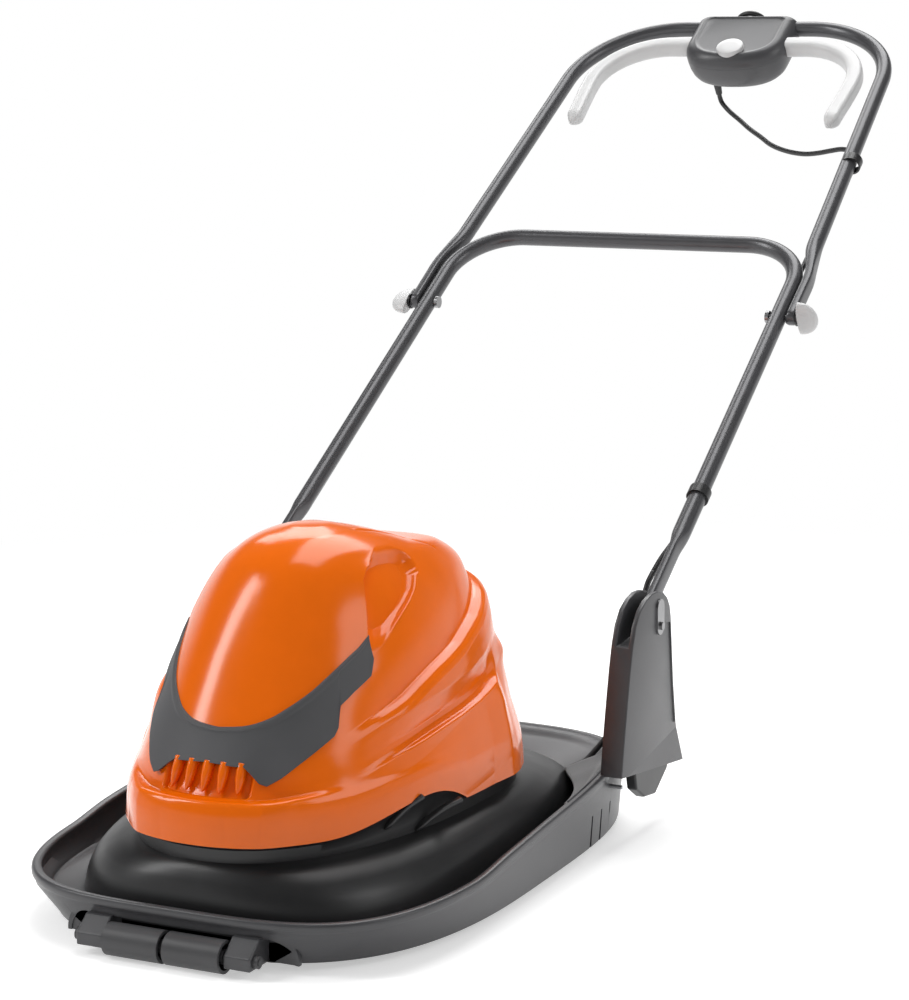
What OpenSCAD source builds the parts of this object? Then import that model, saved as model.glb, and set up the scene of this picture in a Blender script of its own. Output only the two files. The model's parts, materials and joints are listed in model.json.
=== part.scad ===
// Hover mower: a floating deck with a motor under a moulded cover, and a folding tube handle.
// Construction frame: blade axis at X 0, Y 0, ground at Z 0, front towards -Y, up +Z.
// Every node is then moved along Y, so that the origin lies below the middle of the whole mower.

/* [Deck] */
// Half width of the deck at its widest place
deck_half = 213; // [190:1:240]
// Blade axis to the front edge of the deck
deck_front = 311; // [290:1:340]
// Blade axis to the rear edge of the deck
deck_rear = 335; // [315:1:370]
// Wall of the deck skirt
skirt_wall = 3.5; // [3:0.1:5]
// Height of the rim at the front
rim_front = 47; // [42:1:54]
// Height of the rim at the rear
rim_rear = 66; // [60:1:74]
// Height of the rolled bead on the rim
bead_tall = 8; // [6:0.5:10]
// Top of the trough floor inside the rim
trough_top = 24; // [20:1:28]
// Wall of the hood shell
hood_wall = 3; // [2.5:0.1:4]
// Top of the hood deck that carries the motor
hood_top = 102; // [98:1:106]

/* [Motor cover] */
// Half width of the cover at its lower edge
cover_half = 158; // [145:1:165]
// Crown of the cover to its front edge, along the mower
cover_front = 222; // [205:1:235]
// Crown of the cover to its rear edge, along the mower
cover_rear = 240; // [228:1:250]
// Height of the cover's lower edge above the ground
cover_low = 95; // [93:0.5:97]
// Height of the cover's crown above the ground
cover_high = 341; // [320:1:360]
// Wall of the cover
cover_wall = 3; // [2.5:0.1:4]
// Rise of the side arch in the cover's lower edge
arch_rise = 18; // [8:1:24]
// Thickness of the visor trim
visor_wall = 2.6; // [2:0.1:4]

/* [Blade and motor] */
// Radius of the cutting circle
blade_reach = 165; // [150:1:172]
// Width of the blade
blade_wide = 46; // [36:1:56]
// Height of the blade's underside
blade_low = 12; // [10:0.5:14]
// Radius of the fan impeller
impeller_r = 122; // [100:1:132]
// Radius of the motor frame
motor_r = 50; // [46:1:54]
// Radius of the motor shaft
shaft_r = 6; // [5:0.5:7]

/* [Rollers] */
// Radius of a front roller
roller_r = 14.5; // [12:0.5:15]
// Length of a front roller
roller_long = 55; // [45:1:57]
// Radius of the roller axle
axle_r = 3; // [2.5:0.25:4]

/* [Handle] */
// Radius of the handle tube
tube_r = 9.5; // [8.5:0.25:10.5]
// Wall of the handle tube
tube_wall = 1.5; // [1:0.1:2.5]
// Slope of the handle above level, in degrees
handle_slope = 32.3; // [28:0.1:38]
// Height of the handle pivot above the ground
pivot_high = 225; // [215:1:240]
// Blade axis to the handle pivot
pivot_back = 238; // [230:1:246]
// Half spacing of the lower legs at the pivot
lower_half = 219.5; // [218:0.5:221]
// Half spacing of the lower legs at the crossbar
lower_top_half = 214; // [208:0.5:216]
// Pivot to the crossbar, along the handle
lower_long = 602; // [560:1:640]
// Bend radius of the crossbar corners
lower_bend = 75; // [55:1:95]
// Pivot to the clamp bolts, along the handle
clamp_along = 470; // [440:1:490]
// Pivot to the top of the grip loop, along the handle
upper_long = 1064; // [1000:1:1120]
// Half spacing of the grip loop's legs, produced to the top
upper_top_half = 205; // [198:0.5:212]
// Bend radius of the grip loop's corners
upper_bend = 125; // [100:1:130]

/* [Switch box] */
// Width of the switch box
box_wide = 134; // [124:1:140]
// Length of the switch box along the handle
box_long = 107; // [102:1:112]
// Height of the box's top face above the handle's plane
box_top = 17; // [16:0.5:22]
// Depth of the box's underside below the handle's plane
box_deep = 36; // [32:0.5:42]
// Wall of the switch box
box_wall = 2.5; // [2:0.1:3.5]
// Radius of the lock-off button
button_r = 17.5; // [12:0.5:19]
// Travel of the lock-off button
button_travel = 4; // [2:0.5:5]
// Width of a squeeze lever in the handle's plane
lever_wide = 20; // [16:0.5:22]
// Thickness of a squeeze lever
lever_thick = 14; // [10:0.5:15]

/* [Cable] */
// Diameter of the motor cable
cable_d = 6; // [5:0.25:7]

/* [Hidden] */

// Smoothness, and one overrun for all cuts
$fn = 64;
ring_points = 56;
outline_points = 88;
overrun = 2;
beyond = 2000;

// Clearances
seat_gap = 0.3;
fit_gap = 0.06;
slack_gap = 0.1;
cable_gap = 0.6;

// Colours
orange = [0.90, 0.38, 0.05];
mid_grey = [0.30, 0.30, 0.31];
dark_grey = [0.22, 0.22, 0.23];
black = [0.05, 0.05, 0.06];
pale_grey = [0.85, 0.85, 0.85];
steel = [0.70, 0.71, 0.73];
copper = [0.72, 0.42, 0.20];

// Ovals: a plan outline with its own reach to the side, the front and the rear
function signed_power(v, e) = sign(v) * pow(abs(v), e);
function oval(half, front, rear, middle, square, count, tail_square = 0) = [
    for (i = [0:count - 1])
        let (turn = 360 * i / count)
        let (power = 2 / (tail_square > 0 && cos(turn) < 0 ? tail_square : square))
        let (across = signed_power(sin(turn), power))
        let (along = signed_power(-cos(turn), power))
        [half * across, middle + (along < 0 ? front : rear) * along]];
function at_height(plan, high) = [for (p = plan) [p[0], p[1], high]];

// A closed skin over a stack of rings with equal point counts
function ring_faces(rings, count, wraps) = [
    for (r = [0:rings - (wraps ? 1 : 2)], i = [0:count - 1])
        let (here = r * count, there = ((r + 1) % rings) * count, next = (i + 1) % count)
        each [[here + i, there + i, there + next], [here + i, there + next, here + next]]];
function cap_faces(start, count, flip) = [
    for (i = [1:count - 2])
        flip ? [start, start + i, start + i + 1] : [start, start + i + 1, start + i]];
function all_points(rings) = [for (r = rings) each r];
module ring_loop(rings) {
    polyhedron(all_points(rings), ring_faces(len(rings), len(rings[0]), true));
}
module ring_stack(rings) {
    count = len(rings[0]);
    last = (len(rings) - 1) * count;
    caps = concat(cap_faces(0, count, true), cap_faces(last, count, false));
    polyhedron(all_points(rings), concat(ring_faces(len(rings), count, false), caps));
}

// Deck outline
deck_square = 3.7;
function deck_outline(inset) =
    oval(deck_half - inset, deck_front - inset, deck_rear - inset, 0, deck_square, outline_points);
function deck_half_at(along) = deck_half * pow(1 - pow(along / deck_rear, deck_square), 1 / deck_square);
rim_slope = (rim_rear - rim_front) / (deck_front + deck_rear);
rim_tilt = atan(rim_slope);
rim_middle = rim_front + rim_slope * deck_front;
function rim_at(along) = rim_middle + rim_slope * along;
bead_out = 2;
bead_in = 6;
rim_under_bead = 2;
trough_wall = 3;
trough_low = trough_top - trough_wall;
trough_wide_side = 45;
trough_wide_front = 27;
trough_wide_rear = 43;

// Front rollers and the pocket they sit in
roller_ground = 0.5;
roller_gap = 2.5;
axle_high = roller_r + roller_ground;
axle_proud = 9;
axle_ahead = deck_front + axle_proud;
pocket_half = 112;
pocket_wall = 3.5;
pocket_deep = 15;
pocket_back = deck_front - pocket_deep;
roller_headroom = 1.5;
pocket_roof = axle_high + roller_r + roller_headroom;
lug_wide = 26;
lug_in = roller_gap + roller_long + roller_gap;
lug_out = lug_in + lug_wide;
lug_nose = 9;
lug_ahead = axle_ahead + lug_nose;
lug_low = 5;
axle_end = 5;
axle_half = lug_out + axle_end;
cap_r = 5.5;
cap_wide = 4;
roller_hub_r = 6.5;
roller_rim = 3;
roller_hollow = 12;

// Cover levels: height, then side, front and rear reach, as shares of the cover's own sizes
crown_ahead = 58;
cover_tall = cover_high - cover_low;
cover_middle_back = 108;
cover_height_shares = [
    0, 0.094, 0.134, 0.171, 0.252, 0.374, 0.508, 0.65, 0.772, 0.866, 0.895, 0.931, 0.971, 0.996];
cover_side_shares = [1, 0.99, 0.98, 0.965, 0.93, 0.88, 0.81, 0.71, 0.605, 0.495, 0.45, 0.38, 0.255, 0.1];
cover_front_shares = [1, 0.985, 0.965, 0.92, 0.865, 0.77, 0.675, 0.575, 0.48, 0.395, 0.36, 0.3, 0.205, 0.08];
cover_rear_shares = [1, 0.99, 0.985, 0.978, 0.96, 0.93, 0.89, 0.84, 0.79, 0.64, 0.43, 0.32, 0.19, 0.08];
function paired(shares) = [for (i = [0:len(shares) - 1]) [cover_height_shares[i], shares[i]]];
cover_side_lookup = paired(cover_side_shares);
cover_front_lookup = paired(cover_front_shares);
cover_rear_lookup = paired(cover_rear_shares);
cover_square = 2.3;
cover_tail_square_shares = [[0, 2], [0.25, 2], [0.5, 2.4], [0.75, 3.2], [0.87, 4], [1, 2.3]];
cover_middle_share = 0.6;

// The plan of the cover at a height share, with its reach grown or shrunk by out
function cover_plan(level, out, count) =
    let (front = (cover_front + out) * lookup(level, cover_front_lookup))
    let (rear = (cover_rear + out) * lookup(level, cover_rear_lookup))
    let (half = (cover_half + out) * lookup(level, cover_side_lookup))
    let (back = min(cover_middle_back * (1 - level * level), rear * cover_middle_share))
    let (tail_square = lookup(level, cover_tail_square_shares))
    oval(half, front + back, rear - back, back - crown_ahead, cover_square, count, tail_square);

// The lower edge of the cover lifts into an arch on each side
arch_peak_ahead = 105;
arch_front_run = 120;
arch_rear_run = 60;
function eased(v) = let (u = max(0, min(1, v))) u * u * (3 - 2 * u);
function arch_share(along) =
    let (past = along + arch_peak_ahead)
    past < 0 ? eased(1 + past / arch_front_run) : max(0, 1 - pow(past / arch_rear_run, 2));
function cover_edge(along) = cover_low + arch_rise * arch_share(along);
function edge_ring(plan, drop) = [for (p = plan) [p[0], p[1], cover_edge(p[1]) - drop]];

// Hood levels: reach of the dome at each height share between the trough and the neck
hood_low = trough_top + seat_gap;
hood_base_half = 182;
hood_base_front = 288;
hood_base_rear = 308;
neck_inset = 11;
neck_low = 78;
hood_height_shares = [0, 0.18, 0.46, 0.7, 0.86, 0.95, 1];
hood_spread_shares = [1, 0.97, 0.86, 0.66, 0.42, 0.2, 0];
hood_square = 2.9;
motor_hole_r = 62;

// Motor stack, from the hood deck up
plate_r = 84;
plate_thick = 4;
plate_top = hood_top + plate_thick;
plate_hub_r = 30;
plate_arm_wide = 20;
plate_ring = 16;
bearing_tall = 9;
bearing_wall = 7;
base_thick = 6;
frame_wall = 3;
base_top = plate_top + base_thick;
stator_lift = 16;
stator_low = base_top + stator_lift;
stator_tall = 42;
stator_top = stator_low + stator_tall;
stator_in_r = 31;
winding_tall = 9;
winding_in_r = 33;
winding_out_r = 44;
seat_step = 8;
cap_lift = 27;
cap_low = stator_low + seat_step + seat_gap;
cap_floor = stator_top + cap_lift;
cap_thick = 6;
cap_top = cap_floor + cap_thick;
armature_r = 30;
commutator_r = 14;
commutator_tall = 14;
commutator_lift = 8;
commutator_low = stator_top + commutator_lift;
brush_wide = 7;
brush_long = 14;
brush_high = commutator_low + commutator_tall / 2;
holder_wall = 1.5;
holder_gap = 6;
holder_long = motor_r - frame_wall - commutator_r - holder_gap;
screw_r = 2;
screw_head_r = 4;
screw_head_tall = 2.5;
plate_screw_ring = 74;
motor_screw_ring = 40;
shaft_top = cap_floor + overrun;

// Fan and blade stack, from the motor plate down
blade_thick = 3;
blade_hub_r = 30;
blade_top = blade_low + blade_thick;
spacer_tall = 8;
spacer_r = 22;
impeller_low = blade_top + spacer_tall;
impeller_disc = 3;
impeller_vane_tall = 26;
impeller_vane_wide = 3;
impeller_vanes = 12;
impeller_eye_r = 52;
impeller_hub_r = 20;
impeller_hub_tall = 48;
bolt_head_r = 10;
bolt_head_tall = 6;
bolt_r = 4;
bolt_long = 40;
shaft_low = blade_low + blade_thick / 2;

// Small pieces on the hood deck
block_size = [16, 30, 18];
block_turn = 45;
suppressor_r = 8;
suppressor_tall = 24;
suppressor_turn = 135;

// Handle brackets, seen from the side
bracket_wide = 23;
bracket_out = lower_half + bracket_wide / 2;
bracket_in = bracket_out - bracket_wide;
slot_wide = 12;
bracket_cheek = (bracket_wide - slot_wide) / 2;
slot_in = bracket_in + bracket_cheek;
bracket_low = 54;
bracket_front_back = 143;
bracket_rear_back = 304;
bracket_shoulder = 25;
bracket_kink_up = 46;
bracket_kink_in = 26;
bracket_crown_r = 27;
bracket_crown_drop = 12;
slot_deep = 36;
slot_floor = pivot_high - slot_deep;
bracket_wall = 6;
block_in = 188;
block_long = 97;
foot_low = 12;
foot_wide = 6;
foot_long = 24;
foot_inset = 4;
bracket_screw_backs = [172, 214];
bracket_screw_high = 57;
bracket_screw_long = 26;
bracket_screw_into = 12;
spot_r = 4.6;

// Pivot pins
pin_r = 4;
pin_head_r = 7;
pin_head = 3.5;
pin_plate_thick = 2;
pin_plate_r = 9;
pin_plate_drop = 18;
plate_screw_long = 8;

// Handle tongues, bolts and knobs
lower_taper = atan((lower_half - lower_top_half) / lower_long);
tongue_thick = 9;
tongue_long = 84;
tongue_blend = 28;
weld_proud = 0.05;
weld_long = 1;
tongue_tail = 7.5;
tongue_end = tongue_long + tongue_blend;
clamp_half = lower_half - (lower_half - lower_top_half) * clamp_along / lower_long;
grip_tongue_thick = 10.5;
grip_gap = 1.1;
grip_tongue_in = clamp_half + tube_r + grip_gap;
grip_tongue_middle = grip_tongue_in + grip_tongue_thick / 2;
grip_press_long = 90;
fade_long = 112;
grip_end = clamp_along - tongue_tail;
grip_hollow_gap = 150;
grip_hollow = clamp_along + grip_hollow_gap;
upper_taper = atan((grip_tongue_middle - upper_top_half) / (upper_long - clamp_along));
clamp_r = 3;
clamp_head_r = 7;
clamp_head = 4;
washer_r = 9;
washer_thick = 2;
knob_in = grip_tongue_in + grip_tongue_thick + washer_thick + 2 * seat_gap + seat_gap;
knob_hub_r = 9;
knob_long = 22;
knob_wing_tall = 19;
knob_wing_thick = 8;
knob_wing_r = 6;
knob_cap = 4;
clamp_end = knob_in + knob_long - knob_cap;

// Switch box, in the handle's own plane
box_behind = 11;
box_back = upper_long + box_behind;
box_front = box_back - box_long;
box_corner = 46;
box_split = 0.15;
channel_gap = 0.2;
button_inset = 24;
button_along = box_front + button_inset;
button_flange = 2.5;
button_flange_tall = 3;
button_proud = 5;
button_tall = 14;
button_hole_gap = 0.4;
button_high = box_top + button_proud;
button_low = button_high - button_tall;
spring_r = 4;
spring_wire = 1;
lever_ahead = 42;
lever_along = upper_long - lever_ahead;
lever_root = 44;
lever_hub_r = 12;
lever_pin_r = 3;
lever_bend = 85;
lever_bend_in = 88;
lever_tail = 85;
lever_port_gap = 2.5;
boss_r = 7;
boss_gap = lever_thick / 2 + seat_gap;
box_screw_places = [[-46, 22], [46, 22], [-46, 78], [46, 78]];
box_screw_sunk = 16;
box_screw_seat = box_screw_sunk - box_deep;
box_screw_end = 10;
box_post_r = 5;
switch_size = [30, 18, 16];
switch_top = button_low - button_travel - seat_gap;
switch_low = switch_top - switch_size[2];
switch_front = lever_along - switch_size[1] / 2 + overrun;
inlet_r = 8;
inlet_bore_r = 4.2;
inlet_out = 14;
inlet_in = 5;
inlet_drop = 20;
hook_r = 18;
hook_wire = 3.5;

// Cable places in the handle's plane: across, along, and above
cable_r = cable_d / 2;
cable_sides = 10;
sleeve_long = 20;
sleeve_big_r = 5.5;
sleeve_flange_r = 8;
sleeve_tip_wall = 1;
sleeve_aside = 30;
sleeve_behind = 8;
sleeve_place = [-sleeve_aside, button_along + sleeve_behind];
loop_route = [
    [-30, 1000, -56], [-30, 1000, -62], [-27, 997, -69], [-15, 987, -75], [4, 970, -77],
    [24, 948, -75], [46, 925, -71], [66, 902, -66], [86, 883, -60], [109, 863, -51],
    [132, 847, -42], [152, 838, -34], [170, 833, -27], [186, 828, -21], [200, 819, -17],
    [208, 806, -15], [211, 790, -15], [211, 770, -15]];
upper_route = [
    [211, 769.7, -15], [211, 740, -15], [210.5, 700, -15], [210, 660, -15], [209.5, 620, -15],
    [209, 580, -15], [208, 540, -15], [208, 500.3, -15]];
fold_route = [[208, 499.7, -15], [208, 486, -15.1], [208, 470, -15.4], [208, 454, -15.1], [208, 440.3, -15]];
lower_route = [
    [208, 439.7, -15], [208, 400, -15], [209, 350, -15], [209.5, 300, -15], [210, 250, -15],
    [210, 205, -15], [210, 180, -15], [210, 158, -15], [209.3, 140, -15.2], [205.5, 115, -16.6],
    [200, 90, -18], [197, 70.5, -20]];
// Cable places on the deck, in the construction frame
pivot_route = [
    [196.8, 307.4, 245.1], [195.9, 297, 237], [195.4, 289.5, 226.5], [195, 286, 214], [194.5, 286, 200],
    [194, 288, 188.3]];
tail_route = [
    [194, 288, 187.5], [193, 290, 166], [190, 288, 144], [185, 281, 122], [178, 269, 101],
    [169, 253, 82], [160, 235, 67], [153.5, 220.5, 58.6], [147.5, 207.5, 53.3]];

// Overall reach, for the middle of the whole mower
most_front = axle_ahead + roller_r;
most_back = pivot_back + (box_back + inlet_out) * cos(handle_slope)
    + (inlet_drop + inlet_r) * sin(handle_slope);
middle_back = (most_back - most_front) / 2;

module placed() {
    translate([0, -middle_back, 0])
        children();
}
module both_sides() {
    children();
    mirror([1, 0, 0])
        children();
}
module on_handle() {
    translate([0, pivot_back, pivot_high])
        rotate([handle_slope, 0, 0])
            children();
}
module along_x(from, to, r) {
    translate([from, 0, 0])
        rotate([0, 90, 0])
            cylinder(h = to - from, r = r);
}

// Skirt: the deck's outer wall with its rolled rim, inner trough and roller lugs
module deck_ring(outer, inner, tall) {
    linear_extrude(tall)
        difference() {
            polygon(deck_outline(outer));
            polygon(deck_outline(inner));
        }
}
module rim_plane(lift) {
    translate([0, 0, rim_middle + lift])
        rotate([rim_tilt, 0, 0])
            children();
}
module skirt_ring() {
    difference() {
        deck_ring(0, skirt_wall, rim_rear + overrun);
        rim_plane(-rim_under_bead)
            translate([-beyond / 2, -beyond / 2, 0])
                cube(beyond);
    }
    rim_plane(-bead_tall)
        deck_ring(-bead_out, bead_in, bead_tall);
    translate([0, 0, trough_low])
        linear_extrude(trough_wall)
            difference() {
                polygon(deck_outline(skirt_wall / 2));
                polygon(oval(deck_half - trough_wide_side, deck_front - trough_wide_front,
                             deck_rear - trough_wide_rear, 0, deck_square, outline_points));
            }
    intersection() {
        linear_extrude(pocket_roof + pocket_wall)
            polygon(deck_outline(skirt_wall / 2));
        translate([-pocket_half - pocket_wall, -deck_front, 0])
            cube([2 * (pocket_half + pocket_wall), deck_front - pocket_back + pocket_wall,
                  pocket_roof + pocket_wall]);
    }
}
module bracket_screw_line(back, from, to, r) {
    translate([0, back, bracket_screw_high])
        along_x(from, to, r);
}
module skirt_solid() {
    difference() {
        skirt_ring();
        translate([-pocket_half, -deck_front - bead_out - overrun, -overrun])
            cube([2 * pocket_half, deck_front - pocket_back + bead_out + overrun, pocket_roof + overrun]);
        both_sides()
            for (back = bracket_screw_backs) {
                seat = deck_half_at(back) - bead_in - overrun;
                bracket_screw_line(back, seat - bracket_screw_long, seat, spot_r);
                bracket_screw_line(back, seat - overrun, seat + bracket_screw_long, screw_r + slack_gap);
            }
    }
    difference() {
        both_sides()
            translate([lug_in, -lug_ahead, lug_low])
                cube([lug_wide, lug_ahead - pocket_back + pocket_wall / 2, pocket_roof + overrun - lug_low]);
        translate([0, -axle_ahead, axle_high])
            along_x(-axle_half - overrun, axle_half + overrun, axle_r + slack_gap);
    }
}
module skirt() {
    color(mid_grey)
        placed()
            skirt_solid();
}

// Hood: the dome between the trough and the cover, with the round hole for the motor
function hood_ring(share, spread, shrink) =
    let (neck_half = cover_half - neck_inset)
    let (neck_front = cover_front + crown_ahead - neck_inset)
    let (neck_rear = cover_rear - crown_ahead - neck_inset)
    let (half = neck_half + (hood_base_half - neck_half) * spread - shrink)
    let (front = neck_front + (hood_base_front - neck_front) * spread - shrink)
    let (rear = neck_rear + (hood_base_rear - neck_rear) * spread - shrink)
    let (back = (cover_middle_back - crown_ahead) * (1 - spread))
    let (square = cover_square + (hood_square - cover_square) * spread)
    at_height(oval(half, front + back, rear - back, back, square, ring_points),
              hood_low + (neck_low - hood_low) * share - (share > 0 ? shrink : 0));
hood_outer = [for (i = [0:len(hood_height_shares) - 1])
    hood_ring(hood_height_shares[i], hood_spread_shares[i], 0)];
hood_inner = [for (i = [len(hood_height_shares) - 1:-1:0])
    hood_ring(hood_height_shares[i], hood_spread_shares[i], hood_wall)];
function round_ring(r, high) = at_height(oval(r, r, r, 0, 2, ring_points), high);
seat_plan = cover_plan(0, -cover_wall / 2, ring_points);
seat_plan_in = cover_plan(0, -cover_wall - hood_wall, ring_points);
module hood() {
    color(black)
        placed()
            ring_loop(concat(
                hood_outer,
                [edge_ring(seat_plan, seat_gap)],
                [edge_ring(seat_plan_in, seat_gap)],
                [round_ring(plate_r + overrun, hood_top)],
                [round_ring(motor_hole_r, hood_top)],
                [round_ring(motor_hole_r, hood_top - hood_wall)],
                [round_ring(plate_r + overrun, hood_top - hood_wall)],
                hood_inner));
}

// Motor cover: the moulded shell over the motor
function cover_level(share, out, lift) =
    at_height(cover_plan(share, out, ring_points), cover_low + lift * share);
cover_upper_shares = [for (i = [1:len(cover_height_shares) - 1]) cover_height_shares[i]];
cover_lower_shares = [for (i = [len(cover_upper_shares) - 1:-1:0]) cover_upper_shares[i]];
module motor_cover() {
    color(orange)
        placed()
            ring_stack(concat(
                [for (s = cover_lower_shares) cover_level(s, 0, cover_tall)],
                [edge_ring(cover_plan(0, 0, ring_points), 0)],
                [edge_ring(cover_plan(0, -cover_wall, ring_points), 0)],
                [for (s = cover_upper_shares) cover_level(s, -cover_wall, cover_tall - cover_wall)]));
}

// Visor trim: a band that wraps the front of the cover
visor_columns = 28;
visor_rows = 4;
visor_points = 360;
visor_reach_share = 0.289;
visor_low_shares = [
    [0, 0.264], [0.2, 0.25], [0.26, 0.23], [0.33, 0.2], [0.37, 0.2], [0.46, 0.225], [0.54, 0.266],
    [0.71, 0.335], [0.75, 0.41], [0.82, 0.485], [1, 0.6]];
visor_high_shares = [[0, 0.374], [0.31, 0.415], [0.52, 0.465], [0.62, 0.516], [0.8, 0.585], [1, 0.66]];
function cover_point(share, turn_share, out) =
    let (plan = cover_plan(share, out, visor_points))
    let (place = round(visor_points * (1 + turn_share / 2)) % visor_points)
    [plan[place][0], plan[place][1], cover_low + cover_tall * share];
function visor_point(column, row, out) =
    let (side = 2 * column / visor_columns - 1)
    let (low = lookup(abs(side), visor_low_shares))
    let (high = lookup(abs(side), visor_high_shares))
    cover_point(low + (high - low) * row / visor_rows, side * visor_reach_share, out);
function visor_section(column) = concat(
    [for (row = [0:visor_rows]) visor_point(column, row, visor_wall)],
    [for (row = [visor_rows:-1:0]) visor_point(column, row, seat_gap)]);
module visor_trim() {
    color(dark_grey)
        placed()
            ring_stack([for (column = [0:visor_columns]) visor_section(column)]);
}

// Handle brackets: hollow towers at the rear corners, forked at the top
function tangent_point(from, centre, r, side) =
    let (gap = from - centre)
    let (reach = norm(gap))
    let (aim = atan2(gap[1], gap[0]) + side * acos(r / reach))
    centre + r * [cos(aim), sin(aim)];
crown_centre = [pivot_back, pivot_high - bracket_crown_drop];
bracket_front_point = [bracket_front_back, bracket_low + bracket_shoulder];
bracket_kink_point = [bracket_rear_back - bracket_kink_in, bracket_low + bracket_kink_up];
bracket_outline = [
    [bracket_front_back, bracket_low],
    bracket_front_point,
    tangent_point(bracket_front_point, crown_centre, bracket_crown_r, -1),
    tangent_point(bracket_kink_point, crown_centre, bracket_crown_r, 1),
    bracket_kink_point,
    [bracket_rear_back, bracket_low]];
module side_extrude(from, wide) {
    translate([from, 0, 0])
        rotate([90, 0, 90])
            linear_extrude(wide)
                children();
}
bracket_front_tangent = bracket_outline[2];
bracket_rear_tangent = bracket_outline[3];
function on_line(a, b, high) = a[0] + (b[0] - a[0]) * (high - a[1]) / (b[1] - a[1]);
core_top = slot_floor - bracket_wall;
bracket_core = [
    [bracket_front_back + bracket_wall, bracket_low - overrun],
    [bracket_front_back + bracket_wall, bracket_front_point[1]],
    [on_line(bracket_front_point, bracket_front_tangent, core_top) + bracket_wall, core_top],
    [on_line(bracket_kink_point, bracket_rear_tangent, core_top) - bracket_wall, core_top],
    bracket_kink_point - [bracket_wall, 0],
    [bracket_rear_back - foot_inset - foot_long - bracket_wall, bracket_low - overrun]];
// The slot lets the leg swing up and forward, and stops it at its rest slope
module bracket_slot() {
    translate([slot_in, 0, slot_floor])
        cube([slot_wide, pivot_back, beyond]);
    translate([slot_in, pivot_back, pivot_high]) {
        along_x(0, slot_wide, norm([tongue_tail, tube_r]) + seat_gap);
        rotate([handle_slope, 0, 0])
            translate([0, 0, -tube_r - seat_gap])
                cube([slot_wide, beyond, beyond]);
    }
}
module bracket_body() {
    difference() {
        union() {
            side_extrude(bracket_in, bracket_wide) {
                polygon(bracket_outline);
                translate(crown_centre)
                    circle(bracket_crown_r);
            }
            translate([block_in, bracket_front_back, bracket_low])
                cube([bracket_in - block_in + overrun, block_long, bracket_shoulder]);
            translate([slot_in, bracket_rear_back - foot_inset - foot_long, foot_low])
                cube([foot_wide, foot_long, bracket_low + overrun - foot_low]);
        }
        linear_extrude(rim_at(bracket_rear_back) + overrun)
            polygon(deck_outline(-bead_out - seat_gap));
        bracket_slot();
        side_extrude(slot_in, slot_wide)
            polygon(bracket_core);
        translate([0, pivot_back, pivot_high])
            along_x(bracket_in - overrun, bracket_out + overrun, pin_r + slack_gap);
        translate([0, pivot_back, pivot_high - pin_plate_drop])
            along_x(bracket_out - plate_screw_long, bracket_out + overrun, screw_r + slack_gap);
        for (back = bracket_screw_backs)
            bracket_screw_line(back, 0, deck_half_at(back) + bracket_screw_into, screw_r + slack_gap);
    }
}
module bracket_right() {
    color(mid_grey)
        placed()
            bracket_body();
}
module bracket_left() {
    color(mid_grey)
        placed()
            mirror([1, 0, 0])
                bracket_body();
}
module bracket_screws() {
    color(steel)
        placed()
            both_sides()
                for (back = bracket_screw_backs) {
                    seat = deck_half_at(back) - bead_in - overrun;
                    bracket_screw_line(back, seat - screw_head_tall, seat, screw_head_r);
                    bracket_screw_line(back, seat - screw_head_tall, deck_half_at(back) + bracket_screw_into,
                                       screw_r);
                }
}
module pivot_pins() {
    color(steel)
        placed()
            both_sides()
                translate([0, pivot_back, pivot_high]) {
                    along_x(bracket_in - pin_head, bracket_in, pin_head_r);
                    along_x(bracket_in - pin_head, bracket_out + pin_plate_thick, pin_r);
                }
}
module pivot_plates() {
    color(steel)
        placed()
            both_sides()
                difference() {
                    side_extrude(bracket_out, pin_plate_thick)
                        translate([pivot_back, pivot_high]) {
                            circle(pin_plate_r);
                            translate([0, -pin_plate_drop])
                                circle(pin_plate_r);
                            translate([-pin_plate_r, -pin_plate_drop])
                                square([2 * pin_plate_r, pin_plate_drop]);
                        }
                    translate([0, pivot_back, pivot_high])
                        along_x(0, beyond, pin_r + slack_gap);
                    translate([0, pivot_back, pivot_high - pin_plate_drop])
                        along_x(0, beyond, screw_r + slack_gap);
                }
}
module pivot_screws() {
    color(steel)
        placed()
            both_sides()
                translate([0, pivot_back, pivot_high - pin_plate_drop]) {
                    along_x(bracket_out - plate_screw_long, bracket_out + pin_plate_thick, screw_r);
                    along_x(bracket_out + pin_plate_thick, bracket_out + pin_plate_thick + screw_head_tall,
                            screw_head_r);
                }
}

// Front rollers on their axle
module roller_axle() {
    color(steel)
        placed()
            translate([0, -axle_ahead, axle_high])
                along_x(-axle_half, axle_half, axle_r);
}
module axle_caps() {
    color(steel)
        placed()
            translate([0, -axle_ahead, axle_high])
                both_sides()
                    difference() {
                        along_x(lug_out + seat_gap, lug_out + seat_gap + cap_wide, cap_r);
                        along_x(lug_out - overrun, axle_half + overrun, axle_r);
                    }
}
module roller_solid() {
    translate([0, -axle_ahead, axle_high])
        difference() {
            along_x(roller_gap, roller_gap + roller_long, roller_r);
            along_x(0, lug_in + overrun, axle_r + fit_gap);
            for (from = [roller_gap - overrun, roller_gap + roller_long - roller_hollow])
                difference() {
                    along_x(from, from + roller_hollow + overrun, roller_r - roller_rim);
                    along_x(from - overrun, from + roller_hollow + 2 * overrun, roller_hub_r);
                }
        }
}
module front_roller_right() {
    color(dark_grey)
        placed()
            roller_solid();
}
module front_roller_left() {
    color(dark_grey)
        placed()
            mirror([1, 0, 0])
                roller_solid();
}

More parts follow.
